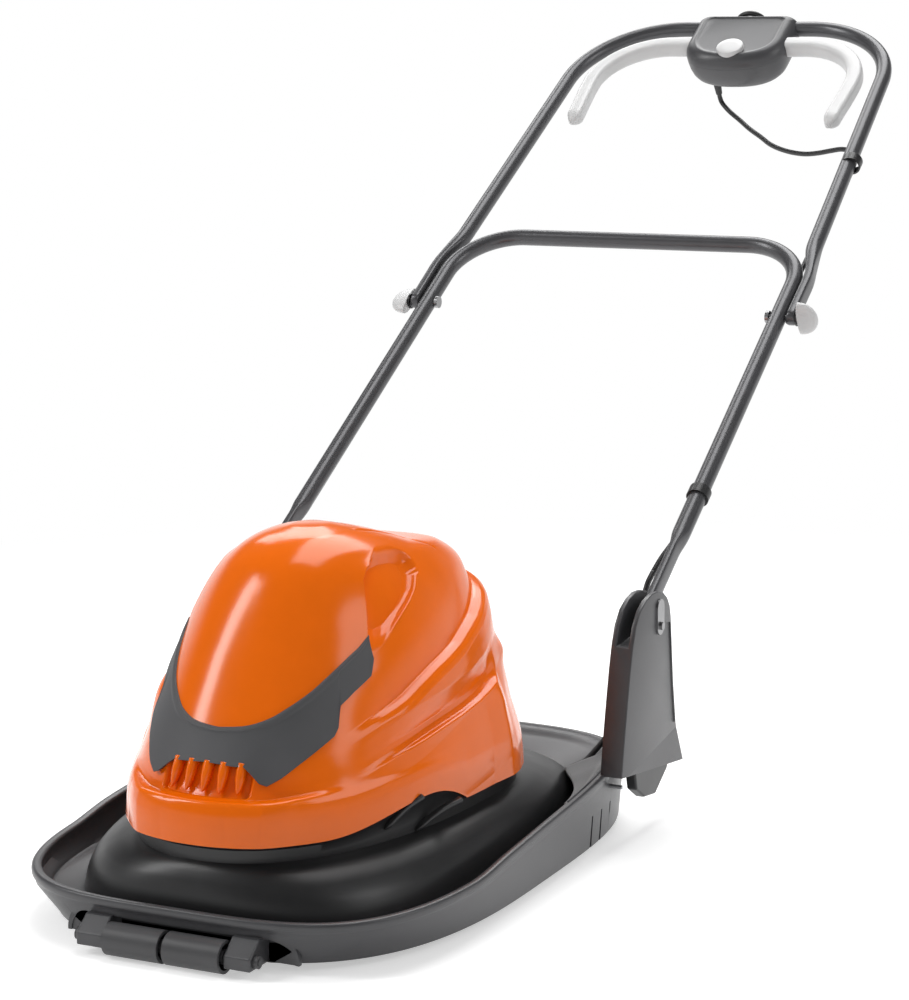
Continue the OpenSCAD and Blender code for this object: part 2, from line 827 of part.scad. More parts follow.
// Motor: plate, frame, windings and bearings, all on the blade axis
module up(low, tall, r) {
    translate([0, 0, low])
        cylinder(h = tall, r = r);
}
module tube_up(low, tall, outer, inner) {
    difference() {
        up(low, tall, outer);
        up(low - overrun, tall + 2 * overrun, inner);
    }
}
module ring_of(count, reach, turn) {
    for (i = [0:count - 1])
        rotate([0, 0, turn + i * 360 / count])
            translate([reach, 0, 0])
                children();
}
module motor_plate() {
    color(dark_grey)
        placed()
            difference() {
                union() {
                    tube_up(hood_top, plate_thick, plate_r, plate_r - plate_ring);
                    up(hood_top, plate_thick, motor_r + frame_wall);
                    intersection() {
                        up(hood_top, plate_thick, plate_r - overrun);
                        for (turn = [0, 90])
                            rotate([0, 0, turn])
                                translate([-plate_r, -plate_arm_wide / 2, hood_top])
                                    cube([2 * plate_r, plate_arm_wide, plate_thick]);
                    }
                }
                up(hood_top - overrun, plate_thick + 2 * overrun, plate_hub_r);
                ring_of(4, plate_screw_ring, 0)
                    up(hood_top - overrun, plate_thick + 2 * overrun, screw_r + slack_gap);
                ring_of(4, motor_screw_ring, 45)
                    up(hood_top - overrun, plate_thick + 2 * overrun, screw_r + slack_gap);
            }
}
module plate_screws() {
    color(steel)
        placed()
            ring_of(4, plate_screw_ring, 0) {
                up(hood_top + slack_gap, plate_thick - slack_gap, screw_r);
                up(plate_top, screw_head_tall, screw_head_r);
            }
}
lower_bearing_r = shaft_r + bearing_wall;
module motor_base() {
    color(steel)
        placed()
            difference() {
                union() {
                    up(plate_top, base_thick, motor_r);
                    tube_up(base_top - overrun, stator_low + seat_step - base_top + overrun, motor_r,
                            motor_r - frame_wall);
                    tube_up(base_top - overrun, stator_low - base_top + overrun, motor_r - seat_gap,
                            motor_r - frame_wall - overrun);
                }
                up(plate_top - overrun, base_thick + 2 * overrun, lower_bearing_r - overrun);
                up(plate_top + overrun, bearing_tall, lower_bearing_r);
                ring_of(4, motor_screw_ring, 45)
                    up(plate_top - overrun, base_thick + 2 * overrun, screw_r + slack_gap);
            }
}
module lower_bearing() {
    color(steel)
        placed()
            tube_up(plate_top + overrun, bearing_tall, lower_bearing_r, shaft_r + fit_gap);
}
module stator_core() {
    color(steel)
        placed()
            tube_up(stator_low, stator_tall, motor_r - frame_wall - slack_gap, stator_in_r);
}
module field_windings() {
    color(copper)
        placed() {
            tube_up(stator_top, winding_tall, winding_out_r, winding_in_r);
            tube_up(stator_low - winding_tall, winding_tall, winding_out_r, winding_in_r);
        }
}
upper_bearing_r = shaft_r + bearing_wall - overrun;
module motor_cap() {
    color(steel)
        placed()
            difference() {
                union() {
                    tube_up(cap_low, cap_top - cap_low, motor_r, motor_r - frame_wall);
                    up(cap_floor, cap_thick, motor_r);
                }
                up(cap_floor - overrun, cap_thick, upper_bearing_r);
                for (turn = [0, 180])
                    rotate([0, 0, turn])
                        translate([motor_r, 0, brush_high])
                            cube([motor_r, brush_wide + 2 * holder_wall + slack_gap,
                                  brush_wide + 2 * holder_wall + slack_gap], center = true);
            }
}
module upper_bearing() {
    color(steel)
        placed()
            tube_up(cap_floor - overrun, bearing_tall - 2 * overrun - seat_gap, upper_bearing_r,
                    shaft_r + fit_gap);
}
module brush_box(from, long, wide) {
    translate([from, -wide / 2, brush_high - wide / 2])
        cube([long, wide, wide]);
}
module brush_holders() {
    color(copper)
        placed()
            for (turn = [0, 180])
                rotate([0, 0, turn])
                    difference() {
                        brush_box(motor_r - holder_long, holder_long, brush_wide + 2 * holder_wall);
                        brush_box(0, motor_r - holder_wall, brush_wide);
                    }
}
module carbon_brushes() {
    color(black)
        placed()
            for (turn = [0, 180])
                rotate([0, 0, turn])
                    difference() {
                        brush_box(commutator_r - overrun, brush_long + overrun, brush_wide - slack_gap);
                        up(0, beyond, commutator_r + seat_gap);
                    }
}
module motor_screws() {
    color(steel)
        placed()
            ring_of(4, motor_screw_ring, 45) {
                up(hood_top - screw_head_tall, screw_head_tall, screw_head_r);
                up(hood_top - screw_head_tall, screw_head_tall + plate_thick + base_thick, screw_r);
            }
}

// Rotor: shaft, armature, fan and blade turn together
module motor_shaft() {
    color(steel)
        placed()
            difference() {
                up(shaft_low, shaft_top - shaft_low, shaft_r);
                up(shaft_low - overrun, bolt_long, bolt_r);
            }
}
module armature() {
    color(copper)
        placed()
            difference() {
                union() {
                    up(stator_low, stator_tall, armature_r);
                    up(stator_low - winding_tall, stator_tall + winding_tall + commutator_lift / 2,
                       armature_r - winding_tall);
                }
                up(0, beyond, shaft_r);
            }
}
module commutator() {
    color(copper)
        placed()
            tube_up(commutator_low, commutator_tall, commutator_r, shaft_r);
}
module impeller() {
    color(dark_grey)
        placed()
            difference() {
                union() {
                    up(impeller_low, impeller_disc, impeller_r);
                    up(impeller_low, impeller_hub_tall, impeller_hub_r);
                    ring_of(impeller_vanes, 0, 0)
                        translate([impeller_eye_r, -impeller_vane_wide / 2, impeller_low])
                            cube([impeller_r - impeller_eye_r - overrun, impeller_vane_wide,
                                  impeller_disc + impeller_vane_tall]);
                }
                up(0, beyond, shaft_r);
            }
}
module blade_spacer() {
    color(black)
        placed()
            tube_up(blade_top, spacer_tall, spacer_r, shaft_r);
}
module blade() {
    color(steel)
        placed()
            difference() {
                intersection() {
                    up(blade_low, blade_thick, blade_reach);
                    union() {
                        translate([-blade_reach, -blade_wide / 2, blade_low])
                            cube([2 * blade_reach, blade_wide, blade_thick]);
                        up(blade_low, blade_thick, blade_hub_r);
                    }
                }
                up(0, beyond, shaft_r);
            }
}
module blade_bolt() {
    color(steel)
        placed()
            difference() {
                union() {
                    up(blade_low - bolt_head_tall, bolt_head_tall, bolt_head_r);
                    up(blade_low - overrun, bolt_long + shaft_low - blade_low - overrun, bolt_r - slack_gap);
                }
                translate([0, 0, blade_low - bolt_head_tall - overrun])
                    cylinder(h = bolt_head_tall / 2 + overrun, r = bolt_r, $fn = 6);
            }
}

// Electrics on the hood deck
module terminal_block() {
    color(pale_grey)
        placed()
            ring_of(1, plate_r - plate_ring, block_turn)
                translate([0, -block_size[1] / 2, plate_top])
                    cube(block_size);
}
module suppressor() {
    color(black)
        placed()
            ring_of(1, plate_r - plate_ring / 2, suppressor_turn)
                up(plate_top, suppressor_tall, suppressor_r);
}

// Bent tubes: a loop of two legs and a top, drawn flat in the handle's plane
module loop_solid(r, start, start_half, taper, top, top_half, bend) {
    run = bend * tan((90 - taper) / 2);
    bend_start = [top_half + run * sin(taper), top - run * cos(taper)];
    both_sides() {
        translate([start_half, start, 0])
            rotate([-90, 0, taper])
                cylinder(h = norm(bend_start - [start_half, start]), r = r);
        translate([bend_start[0] - bend * cos(taper), bend_start[1] - bend * sin(taper), 0])
            rotate([0, 0, taper])
                rotate_extrude(angle = 90 - taper)
                    translate([bend, 0])
                        circle(r);
        translate([bend_start[0], bend_start[1], 0])
            rotate([-90, 0, taper])
                cylinder(h = weld_long, r = r + weld_proud, center = true);
        translate([top_half - run, top, 0])
            rotate([0, 90, 0])
                cylinder(h = weld_long, r = r + weld_proud, center = true);
    }
    translate([0, top, 0])
        along_x(run - top_half, top_half - run, r);
}
// Flats pressed on the end of a leg, which fade out over the blend
module leg_flats(thick, from, to, blend) {
    fade = atan((tube_r - thick / 2) / blend);
    for (side = [0, 1])
        mirror([side, 0, 0])
            translate([thick / 2, 0, -tube_r - overrun]) {
                translate([0, from, 0])
                    cube([4 * tube_r, to - from, 2 * (tube_r + overrun)]);
                translate([0, to, 0])
                    rotate([0, 0, -fade])
                        cube([4 * tube_r, fade_long, 2 * (tube_r + overrun)]);
            }
}
module lower_handle() {
    color(dark_grey)
        placed()
            on_handle()
                difference() {
                    loop_solid(tube_r, -tongue_tail, lower_half + tongue_tail * tan(lower_taper), lower_taper,
                               lower_long, lower_top_half, lower_bend);
                    loop_solid(tube_r - tube_wall, tongue_end, lower_half_at(tongue_end), lower_taper,
                               lower_long, lower_top_half, lower_bend);
                    both_sides()
                        translate([lower_half, 0, 0])
                            rotate([0, 0, lower_taper])
                                leg_flats(tongue_thick, -tongue_tail - overrun, tongue_long, tongue_blend);
                    along_x(-beyond, beyond, pin_r + fit_gap);
                    translate([0, clamp_along, 0])
                        along_x(-beyond, beyond, clamp_r + slack_gap);
                }
}
module upper_handle() {
    color(dark_grey)
        placed()
            on_handle()
                difference() {
                    loop_solid(tube_r, grip_end, upper_half_at(grip_end), upper_taper,
                               upper_long, upper_top_half, upper_bend);
                    loop_solid(tube_r - tube_wall, grip_hollow, upper_half_at(grip_hollow), upper_taper,
                               upper_long, upper_top_half, upper_bend);
                    both_sides()
                        translate([grip_tongue_middle, clamp_along, 0])
                            leg_flats(grip_tongue_thick, -tongue_tail - overrun, grip_press_long,
                                      tongue_blend);
                    translate([0, upper_long, -tube_r - overrun])
                        cylinder(h = tube_r + overrun, r = cable_r + overrun);
                    translate([0, clamp_along, 0])
                        along_x(-beyond, beyond, clamp_r + fit_gap);
                }
}
module clamp_bolts() {
    color(steel)
        placed()
            on_handle()
                translate([0, clamp_along, 0])
                    both_sides() {
                        along_x(clamp_half - tube_r - seat_gap - clamp_head, clamp_half - tube_r - seat_gap,
                                clamp_head_r);
                        along_x(clamp_half - tube_r - seat_gap - clamp_head, clamp_end, clamp_r);
                    }
}
module clamp_washers() {
    color(black)
        placed()
            on_handle()
                translate([0, clamp_along, 0])
                    both_sides()
                        difference() {
                            along_x(knob_in - seat_gap - washer_thick, knob_in - seat_gap, washer_r);
                            along_x(0, beyond, clamp_r + fit_gap);
                        }
}
module knob_solid() {
    on_handle()
        translate([0, clamp_along, 0])
            difference() {
                union() {
                    along_x(knob_in, knob_in + knob_long - knob_wing_r, knob_hub_r);
                    for (end = [-1, 1])
                        translate([0, 0, end * knob_wing_tall / 2])
                            side_wing(end);
                }
                along_x(knob_in - overrun, clamp_end + overrun, clamp_r + fit_gap);
            }
}
module side_wing(end) {
    translate([knob_in + knob_long / 2, -knob_wing_thick / 2, 0])
        rotate([-90, 0, 0])
            linear_extrude(knob_wing_thick) {
                translate([0, -end * knob_wing_r / 2])
                    circle(knob_long / 2);
                translate([-knob_long / 2 + knob_wing_r, -knob_wing_tall / 2])
                    square([knob_long - 2 * knob_wing_r, knob_wing_tall]);
            }
}
module knob_right() {
    color(pale_grey)
        placed()
            knob_solid();
}
module knob_left() {
    color(pale_grey)
        placed()
            mirror([1, 0, 0])
                knob_solid();
}

// Cable clips: open rings round a tube, with an eye for the cable
clip_wide = 12;
clip_wall = 2.4;
clip_upper_along = 769;
clip_lower_along = 170;
clip_eye_drop = 15;
function upper_half_at(along) = grip_tongue_middle - (along - clamp_along) * tan(upper_taper);
function lower_half_at(along) = lower_half - (lower_half - lower_top_half) * along / lower_long;
module cable_clip(along, half, cable_half) {
    color(black)
        placed()
            on_handle()
                translate([0, along + clip_wide / 2, 0])
                    rotate([90, 0, 0])
                        linear_extrude(clip_wide)
                            difference() {
                                union() {
                                    translate([half, 0])
                                        circle(tube_r + clip_wall);
                                    translate([cable_half, -clip_eye_drop])
                                        circle(cable_r + cable_gap + clip_wall);
                                    translate([half, 0])
                                        rotate(atan2(-clip_eye_drop, cable_half - half))
                                            translate([0, -cable_r])
                                                square([norm([clip_eye_drop, cable_half - half]), cable_d]);
                                }
                                translate([half, 0])
                                    circle(tube_r + seat_gap);
                                translate([cable_half, -clip_eye_drop])
                                    circle(cable_r + cable_gap);
                            }
}
module cable_clip_upper() {
    cable_clip(clip_upper_along, upper_half_at(clip_upper_along), upper_route[0][0]);
}
module cable_clip_lower() {
    cable_clip(clip_lower_along, lower_half_at(clip_lower_along), lower_route[5][0]);
}

// Switch box: two shells clamped round the top tube
module box_plan(inset) {
    half = box_wide / 2 - inset;
    corner = box_corner - inset;
    middle = box_wide / 2 - box_corner;
    translate([-half, box_front + box_corner])
        square([2 * half, box_long - box_corner - inset]);
    translate([-middle, box_front + inset])
        square([2 * middle, box_long - 2 * inset]);
    for (end = [-1, 1])
        translate([end * middle, box_front + box_corner])
            circle(corner);
}
module box_slab(low, high, inset) {
    translate([0, 0, low])
        linear_extrude(high - low)
            box_plan(inset);
}
module lever_ports() {
    translate([-box_wide, lever_along - lever_wide / 2 - lever_port_gap, -lever_thick / 2 - lever_port_gap])
        cube([2 * box_wide, lever_wide + 2 * lever_port_gap, lever_thick + 2 * lever_port_gap]);
}
module box_posts(low, high, r) {
    for (place = box_screw_places)
        translate([place[0], box_front + place[1], 0])
            up(low, high - low, r);
}
module switch_base() {
    color(mid_grey)
        placed()
            on_handle()
                difference() {
                    union() {
                        difference() {
                            box_slab(-box_deep, -box_split, 0);
                            box_slab(-box_deep + box_wall, overrun, box_wall);
                            lever_ports();
                        }
                        both_sides()
                            translate([lever_root, lever_along, 0])
                                up(box_wall / 2 - box_deep, box_deep - box_wall / 2 - boss_gap, boss_r);
                        translate([0, button_along, 0])
                            up(-box_deep + box_wall / 2, box_wall + overrun, spring_r - spring_wire);
                        translate([-switch_size[0] / 2, switch_front, box_wall / 2 - box_deep])
                            cube([switch_size[0], switch_size[1], switch_low + box_deep - box_wall / 2]);
                        box_posts(-box_deep + box_wall / 2, -box_split, box_post_r);
                    }
                    translate([0, upper_long, 0])
                        along_x(-box_wide, box_wide, tube_r + channel_gap);
                    both_sides()
                        translate([lever_root, lever_along, 0])
                            up(-lever_thick - overrun, beyond, lever_pin_r);
                    translate([0, box_back - box_wall - overrun, -inlet_drop])
                        rotate([-90, 0, 0])
                            cylinder(h = box_wall + 2 * overrun, r = inlet_r + slack_gap);
                    translate([sleeve_place[0], sleeve_place[1], 0])
                        up(-box_deep - overrun, box_wall + 2 * overrun, sleeve_big_r + slack_gap);
                    box_posts(-box_deep - overrun, box_screw_seat, screw_head_r + slack_gap);
                    box_posts(-box_deep, overrun, screw_r + slack_gap);
                }
}
module switch_cover() {
    color(mid_grey)
        placed()
            on_handle()
                difference() {
                    union() {
                        difference() {
                            box_slab(box_split, box_top, 0);
                            box_slab(-overrun, box_top - box_wall, box_wall);
                            lever_ports();
                        }
                        both_sides()
                            translate([lever_root, lever_along, 0])
                                up(boss_gap, box_top - boss_gap - box_wall / 2, boss_r);
                        box_posts(box_split, box_top - box_wall / 2, box_post_r);
                    }
                    translate([0, upper_long, 0])
                        along_x(-box_wide, box_wide, tube_r + channel_gap);
                    translate([0, button_along, 0])
                        up(0, beyond, button_r + button_hole_gap);
                    both_sides()
                        translate([lever_root, lever_along, 0])
                            up(0, lever_thick / 2 + box_wall, lever_pin_r);
                    box_posts(-overrun, box_screw_end + overrun, screw_r + slack_gap);
                }
}
module box_screws() {
    color(steel)
        placed()
            on_handle() {
                box_posts(box_screw_seat - screw_head_tall, box_screw_seat, screw_head_r);
                box_posts(box_screw_seat - screw_head_tall, box_screw_end, screw_r);
            }
}
module lever_pins() {
    color(steel)
        placed()
            on_handle()
                both_sides()
                    translate([lever_root, lever_along, 0])
                        up(-lever_thick, lever_thick + lever_thick / 2 + box_wall, lever_pin_r);
}

// Levers: each follows the inside of the grip loop and turns on a pin in the box
module lever_plan() {
    translate([lever_root, lever_along])
        circle(lever_hub_r);
    translate([lever_root, lever_along - lever_wide / 2])
        square([lever_bend_in - lever_root, lever_wide]);
    translate([lever_bend_in, lever_along - lever_bend])
        intersection() {
            difference() {
                circle(lever_bend + lever_wide / 2);
                circle(lever_bend - lever_wide / 2);
            }
            square(beyond);
        }
    translate([lever_bend_in + lever_bend, lever_along - lever_bend - lever_tail]) {
        translate([-lever_wide / 2, 0])
            square([lever_wide, lever_tail]);
        circle(lever_wide / 2);
    }
}
module lever_solid() {
    on_handle()
        difference() {
            translate([0, 0, -lever_thick / 2])
                linear_extrude(lever_thick)
                    lever_plan();
            translate([lever_root, lever_along, 0])
                up(-beyond / 2, beyond, lever_pin_r + fit_gap);
        }
}
module lever_right() {
    color(pale_grey)
        placed()
            lever_solid();
}
module lever_left() {
    color(pale_grey)
        placed()
            mirror([1, 0, 0])
                lever_solid();
}

// Lock-off button with its return spring
module lock_button() {
    color(pale_grey)
        placed()
            on_handle()
                translate([0, button_along, 0]) {
                    up(button_low, button_tall, button_r);
                    up(button_low, button_flange_tall, button_r + button_flange);
                }
}
module button_spring() {
    color(steel)
        placed()
            on_handle()
                translate([0, button_along, 0])
                    tube_up(-box_deep + box_wall + seat_gap, button_low + box_deep - box_wall - 2 * seat_gap,
                            spring_r, spring_r - spring_wire + slack_gap);
}
module microswitch() {
    color(black)
        placed()
            on_handle()
                translate([-switch_size[0] / 2, switch_front, switch_low])
                    cube(switch_size);
}

// Mains inlet and the hook that holds the extension lead
module mains_inlet() {
    color(black)
        placed()
            on_handle()
                translate([0, box_back - box_wall - inlet_in, -inlet_drop])
                    rotate([-90, 0, 0])
                        difference() {
                            cylinder(h = box_wall + inlet_in + inlet_out, r = inlet_r);
                            translate([0, 0, -overrun])
                                cylinder(h = box_wall + inlet_in + inlet_out + 2 * overrun, r = inlet_bore_r);
                        }
}
module cable_hook() {
    color(black)
        placed()
            on_handle()
                translate([0, box_back + hook_wire + seat_gap, 0]) {
                    rotate([90, 0, 0])
                        rotate_extrude(angle = 180)
                            translate([hook_r, 0])
                                circle(hook_wire);
                    both_sides()
                        translate([hook_r, 0, 0])
                            rotate([90, 0, 0])
                                cylinder(h = hook_wire + seat_gap, r = hook_wire);
                }
}

// Cable: tubes swept along hand-chosen routes
function smooth_point(route, t) =
    let (last = len(route) - 1)
    let (i = min(floor(t), last - 1), u = t - i)
    let (a = route[max(i - 1, 0)], b = route[i], c = route[i + 1], d = route[min(i + 2, last)])
    0.5 * (2 * b + (c - a) * u + (2 * a - 5 * b + 4 * c - d) * u * u + (3 * b - a - 3 * c + d) * u * u * u);
function unit(v) = v / norm(v);
sweep_lean_shares = [1, 0.3, 0.2];
function sweep_ring(here, aim, r) =
    let (side = unit(cross(aim, sweep_lean_shares)))
    let (lift = cross(side, aim))
    [for (i = [0:cable_sides - 1])
        here + r * (side * cos(360 * i / cable_sides) + lift * sin(360 * i / cable_sides))];
module cable_sweep(route, steps) {
    count = steps * (len(route) - 1);
    spots = [for (i = [0:count]) smooth_point(route, i / steps)];
    ring_stack([for (i = [0:count])
        sweep_ring(spots[i], unit(spots[min(i + 1, count)] - spots[max(i - 1, 0)]), cable_r)]);
}
module cable_on_handle(route, steps) {
    color(black)
        placed()
            on_handle()
                cable_sweep(route, steps);
}
module cable_on_deck(route, steps) {
    color(black)
        placed()
            cable_sweep(route, steps);
}
module cable_sleeve() {
    color(black)
        placed()
            on_handle()
                translate([sleeve_place[0], sleeve_place[1], 0])
                    difference() {
                        union() {
                            translate([0, 0, -box_deep - sleeve_long])
                                cylinder(h = sleeve_long + box_wall, r1 = cable_r + sleeve_tip_wall,
                                         r2 = sleeve_big_r);
                            up(-box_deep + box_wall, overrun, sleeve_flange_r);
                        }
                        up(-box_deep - sleeve_long - overrun, beyond, cable_r + slack_gap);
                    }
}
module cable_loop() {
    cable_on_handle(loop_route, 2);
}
module cable_upper_run() {
    cable_on_handle(upper_route, 2);
}
module cable_fold_bend() {
    cable_on_handle(fold_route, 1);
}
module cable_lower_run() {
    cable_on_handle(lower_route, 2);
}
module cable_pivot_bend() {
    cable_on_deck(pivot_route, 2);
}
module cable_tail() {
    cable_on_deck(tail_route, 1);
}

skirt();
hood();
motor_cover();
visor_trim();
bracket_left();
bracket_right();
bracket_screws();
pivot_pins();
pivot_plates();
pivot_screws();
roller_axle();
axle_caps();
front_roller_left();
front_roller_right();
motor_plate();
plate_screws();
motor_base();
lower_bearing();
stator_core();
field_windings();
motor_cap();
upper_bearing();
brush_holders();
carbon_brushes();
motor_screws();
motor_shaft();
armature();
commutator();
impeller();
blade_spacer();
blade();
blade_bolt();
terminal_block();
suppressor();
lower_handle();
clamp_bolts();
clamp_washers();
knob_left();
knob_right();
upper_handle();
cable_clip_upper();
cable_clip_lower();
switch_base();
switch_cover();
box_screws();
lever_pins();
lever_left();
lever_right();
lock_button();
button_spring();
microswitch();
mains_inlet();
cable_hook();
cable_sleeve();
cable_loop();
cable_upper_run();
cable_fold_bend();
cable_lower_run();
cable_pivot_bend();
cable_tail();
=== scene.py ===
"""Looks of the hover mower: camera, light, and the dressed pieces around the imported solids."""
import json
import math

import bmesh
import bpy
import numpy as np
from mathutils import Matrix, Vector


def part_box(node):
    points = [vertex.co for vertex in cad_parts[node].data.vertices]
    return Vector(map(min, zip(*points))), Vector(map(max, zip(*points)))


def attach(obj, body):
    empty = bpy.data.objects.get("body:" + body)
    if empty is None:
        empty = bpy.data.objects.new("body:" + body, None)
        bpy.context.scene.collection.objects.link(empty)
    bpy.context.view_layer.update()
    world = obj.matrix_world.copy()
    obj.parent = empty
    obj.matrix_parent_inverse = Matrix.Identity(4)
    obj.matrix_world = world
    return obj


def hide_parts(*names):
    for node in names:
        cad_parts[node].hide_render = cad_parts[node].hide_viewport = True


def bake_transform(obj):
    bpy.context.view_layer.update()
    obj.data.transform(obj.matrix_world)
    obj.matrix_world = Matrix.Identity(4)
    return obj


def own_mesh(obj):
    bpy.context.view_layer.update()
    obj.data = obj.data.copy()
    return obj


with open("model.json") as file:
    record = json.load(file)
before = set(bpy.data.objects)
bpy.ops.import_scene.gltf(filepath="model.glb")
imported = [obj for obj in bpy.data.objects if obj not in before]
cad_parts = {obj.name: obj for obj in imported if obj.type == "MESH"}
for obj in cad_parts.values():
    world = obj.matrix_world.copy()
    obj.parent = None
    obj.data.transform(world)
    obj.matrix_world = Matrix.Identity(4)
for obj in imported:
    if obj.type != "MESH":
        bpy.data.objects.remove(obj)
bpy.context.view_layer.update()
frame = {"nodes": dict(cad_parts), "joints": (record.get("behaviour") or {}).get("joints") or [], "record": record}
MM = 0.001


# Places
# Deck places are in mm from the blade axis (X right, Y to the rear, Z up).
# Handle places are in mm from the pivot: across X, along the legs, above the legs' plane.
joint_at = {j["name"]: j.get("pos_m") for j in frame["joints"]}
blade_low, blade_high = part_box("blade_spacer")
BLADE_AXIS = np.array([0.0, 0.5 * (blade_low.y + blade_high.y), 0.0])
PIVOT = np.array(joint_at["handle_pivot"])
SLOPE = math.radians(32.3)
ACROSS = np.array([1.0, 0.0, 0.0])
ALONG = np.array([0.0, math.cos(SLOPE), math.sin(SLOPE)])
ABOVE = np.array([0.0, -math.sin(SLOPE), math.cos(SLOPE)])
CLAMP_ALONG = 470.0
TOP_ALONG = 1064.0
SIDE_NAME = {1: "right", -1: "left"}


def on_deck(points):
    return np.asarray(points, float) * MM + BLADE_AXIS


def on_handle(points):
    p = np.asarray(points, float) * MM
    return PIVOT + p[..., 0:1] * ACROSS + p[..., 1:2] * ALONG + p[..., 2:3] * ABOVE


def ease(v):
    u = np.clip(v, 0.0, 1.0)
    return u * u * (3.0 - 2.0 * u)


def signed_power(v, e):
    return np.sign(v) * np.abs(v) ** e


def smooth_table(x, xs, ys):
    """A monotone cubic through given values."""
    xs, ys = np.asarray(xs, float), np.asarray(ys, float)
    step = np.diff(ys) / np.diff(xs)
    before, after = step[:-1], step[1:]
    middle = np.where(before * after > 0, 2 * before * after / (before + after + 1e-12), 0.0)
    slope = np.concatenate([[step[0]], middle, [step[-1]]])
    x = np.clip(x, xs[0], xs[-1])
    i = np.clip(np.searchsorted(xs, x) - 1, 0, len(xs) - 2)
    h = xs[i + 1] - xs[i]
    u = (x - xs[i]) / h
    return (ys[i] * (1 + 2 * u) * (1 - u) ** 2 + slope[i] * h * u * (1 - u) ** 2
            + ys[i + 1] * u * u * (3 - 2 * u) + slope[i + 1] * h * u * u * (u - 1))


def smooth_path(points, steps):
    """A Catmull-Rom curve through given points."""
    p = np.asarray(points, float)
    p = np.vstack([2 * p[0] - p[1], p, 2 * p[-1] - p[-2]])
    out = []
    for i in range(1, len(p) - 2):
        a, b, c, d = p[i - 1:i + 3]
        for k in range(steps):
            u = k / steps
            out.append(0.5 * (2 * b + (c - a) * u + (2 * a - 5 * b + 4 * c - d) * u * u
                              + (3 * b - a - 3 * c + d) * u ** 3))
    out.append(p[-2])
    return np.array(out)


# Meshes
def skin(name, rows, around=True, loop=False, caps=False, smooth=True):
    """A mesh over rows of points; around closes each row, loop joins the last row to the first."""
    rows = [np.asarray(r, float) for r in rows]
    count = len(rows[0])
    faces = []
    for r in range(len(rows) if loop else len(rows) - 1):
        a, b = r * count, ((r + 1) % len(rows)) * count
        for i in range(count if around else count - 1):
            j = (i + 1) % count
            faces.append((a + i, a + j, b + j, b + i))
    if caps:
        start = (len(rows) - 1) * count
        faces.append(tuple(range(count - 1, -1, -1)))
        faces.append(tuple(range(start, start + count)))
    mesh = bpy.data.meshes.new(name)
    mesh.from_pydata(np.vstack(rows).tolist(), [], faces)
    mesh.validate()
    if smooth:
        mesh.shade_smooth()
    obj = bpy.data.objects.new(name, mesh)
    bpy.context.scene.collection.objects.link(obj)
    return obj


def outward(obj):
    """Turns the faces of a closed mesh outwards."""
    work = bmesh.new()
    work.from_mesh(obj.data)
    bmesh.ops.recalc_face_normals(work, faces=work.faces)
    work.to_mesh(obj.data)
    work.free()
    return obj


def capped(name, rows, smooth=True):
    """A closed mesh over rows of points, with a face at each end."""
    return outward(skin(name, rows, caps=True, smooth=smooth))


def select_only(objs):
    bpy.ops.object.select_all(action="DESELECT")
    for obj in objs:
        obj.select_set(True)
    bpy.context.view_layer.objects.active = objs[0]


def joined(name, objs):
    """One object from several meshes."""
    select_only(objs)
    bpy.ops.object.join()
    objs[0].name = name
    objs[0].data.name = name
    return objs[0]


def crisp(obj, degrees):
    """Keeps edges sharper than this angle and smooths the rest."""
    select_only([obj])
    bpy.ops.object.shade_smooth_by_angle(angle=math.radians(degrees))
    return obj


def settle(obj):
    """Turns the modifiers of a mesh into plain mesh."""
    select_only([obj])
    for modifier in list(obj.modifiers):
        bpy.ops.object.modifier_apply(modifier=modifier.name)
    return obj


def soften(obj, round_by, degrees=30):
    """Rounds the sharp edges of a mesh."""
    bevel = obj.modifiers.new("soften", "BEVEL")
    bevel.width = round_by * MM
    bevel.segments = 3
    bevel.limit_method = "ANGLE"
    bevel.angle_limit = math.radians(degrees)
    bevel.harden_normals = False
    return settle(obj)


def carve(obj, tools):
    """Takes the tools' volumes off a mesh."""
    for tool in tools:
        cut = obj.modifiers.new("carve", "BOOLEAN")
        cut.object = tool
        cut.operation = "DIFFERENCE"
        cut.solver = "EXACT"
        settle(obj)
        bpy.data.objects.remove(tool, do_unlink=True)
    return obj


def prism(name, outline, low, high, axis):
    """A solid drawn in the plane across one axis: outline pairs are the two other places in order."""
    ends = [np.insert(np.asarray(outline, float), axis, level, axis=1) for level in (low, high)]
    return capped(name, [on_deck(ring) for ring in ends], smooth=False)


def side_prism(name, outline, side, inner, outer):
    """A prism across the mower, on its right (1) or left (-1) side; the outline holds (y, z) pairs."""
    low, high = sorted((side * inner, side * outer))
    return prism(name, outline, low, high, 0)


def arc(centre, radius, start, end, steps):
    turn = np.radians(np.linspace(start, end, steps))
    return [(centre[0] + radius * math.cos(t), centre[1] + radius * math.sin(t)) for t in turn]


def tangents(path):
    t = np.gradient(path, axis=0)
    return t / np.linalg.norm(t, axis=1)[:, None]


def section_turn(sides, square):
    """Cosines and sines round a section: 2 is an ellipse, and more is squarer."""
    turn = np.linspace(0, 2 * math.pi, sides, endpoint=False)
    return signed_power(np.cos(turn), 2 / square), signed_power(np.sin(turn), 2 / square)


def sweep(name, path, side, lift, half_side, half_lift, sides=28, square=2.0):
    """A tube along a path; side and lift span its section, whose half sizes may change along it."""
    c, s = section_turn(sides, square)
    side, lift = np.broadcast_to(side, path.shape), np.broadcast_to(lift, path.shape)
    half_side = np.broadcast_to(half_side, len(path)) * MM
    half_lift = np.broadcast_to(half_lift, len(path)) * MM
    rows = [path[i] + np.outer(c * half_side[i], side[i]) + np.outer(s * half_lift[i], lift[i])
            for i in range(len(path))]
    return capped(name, rows)


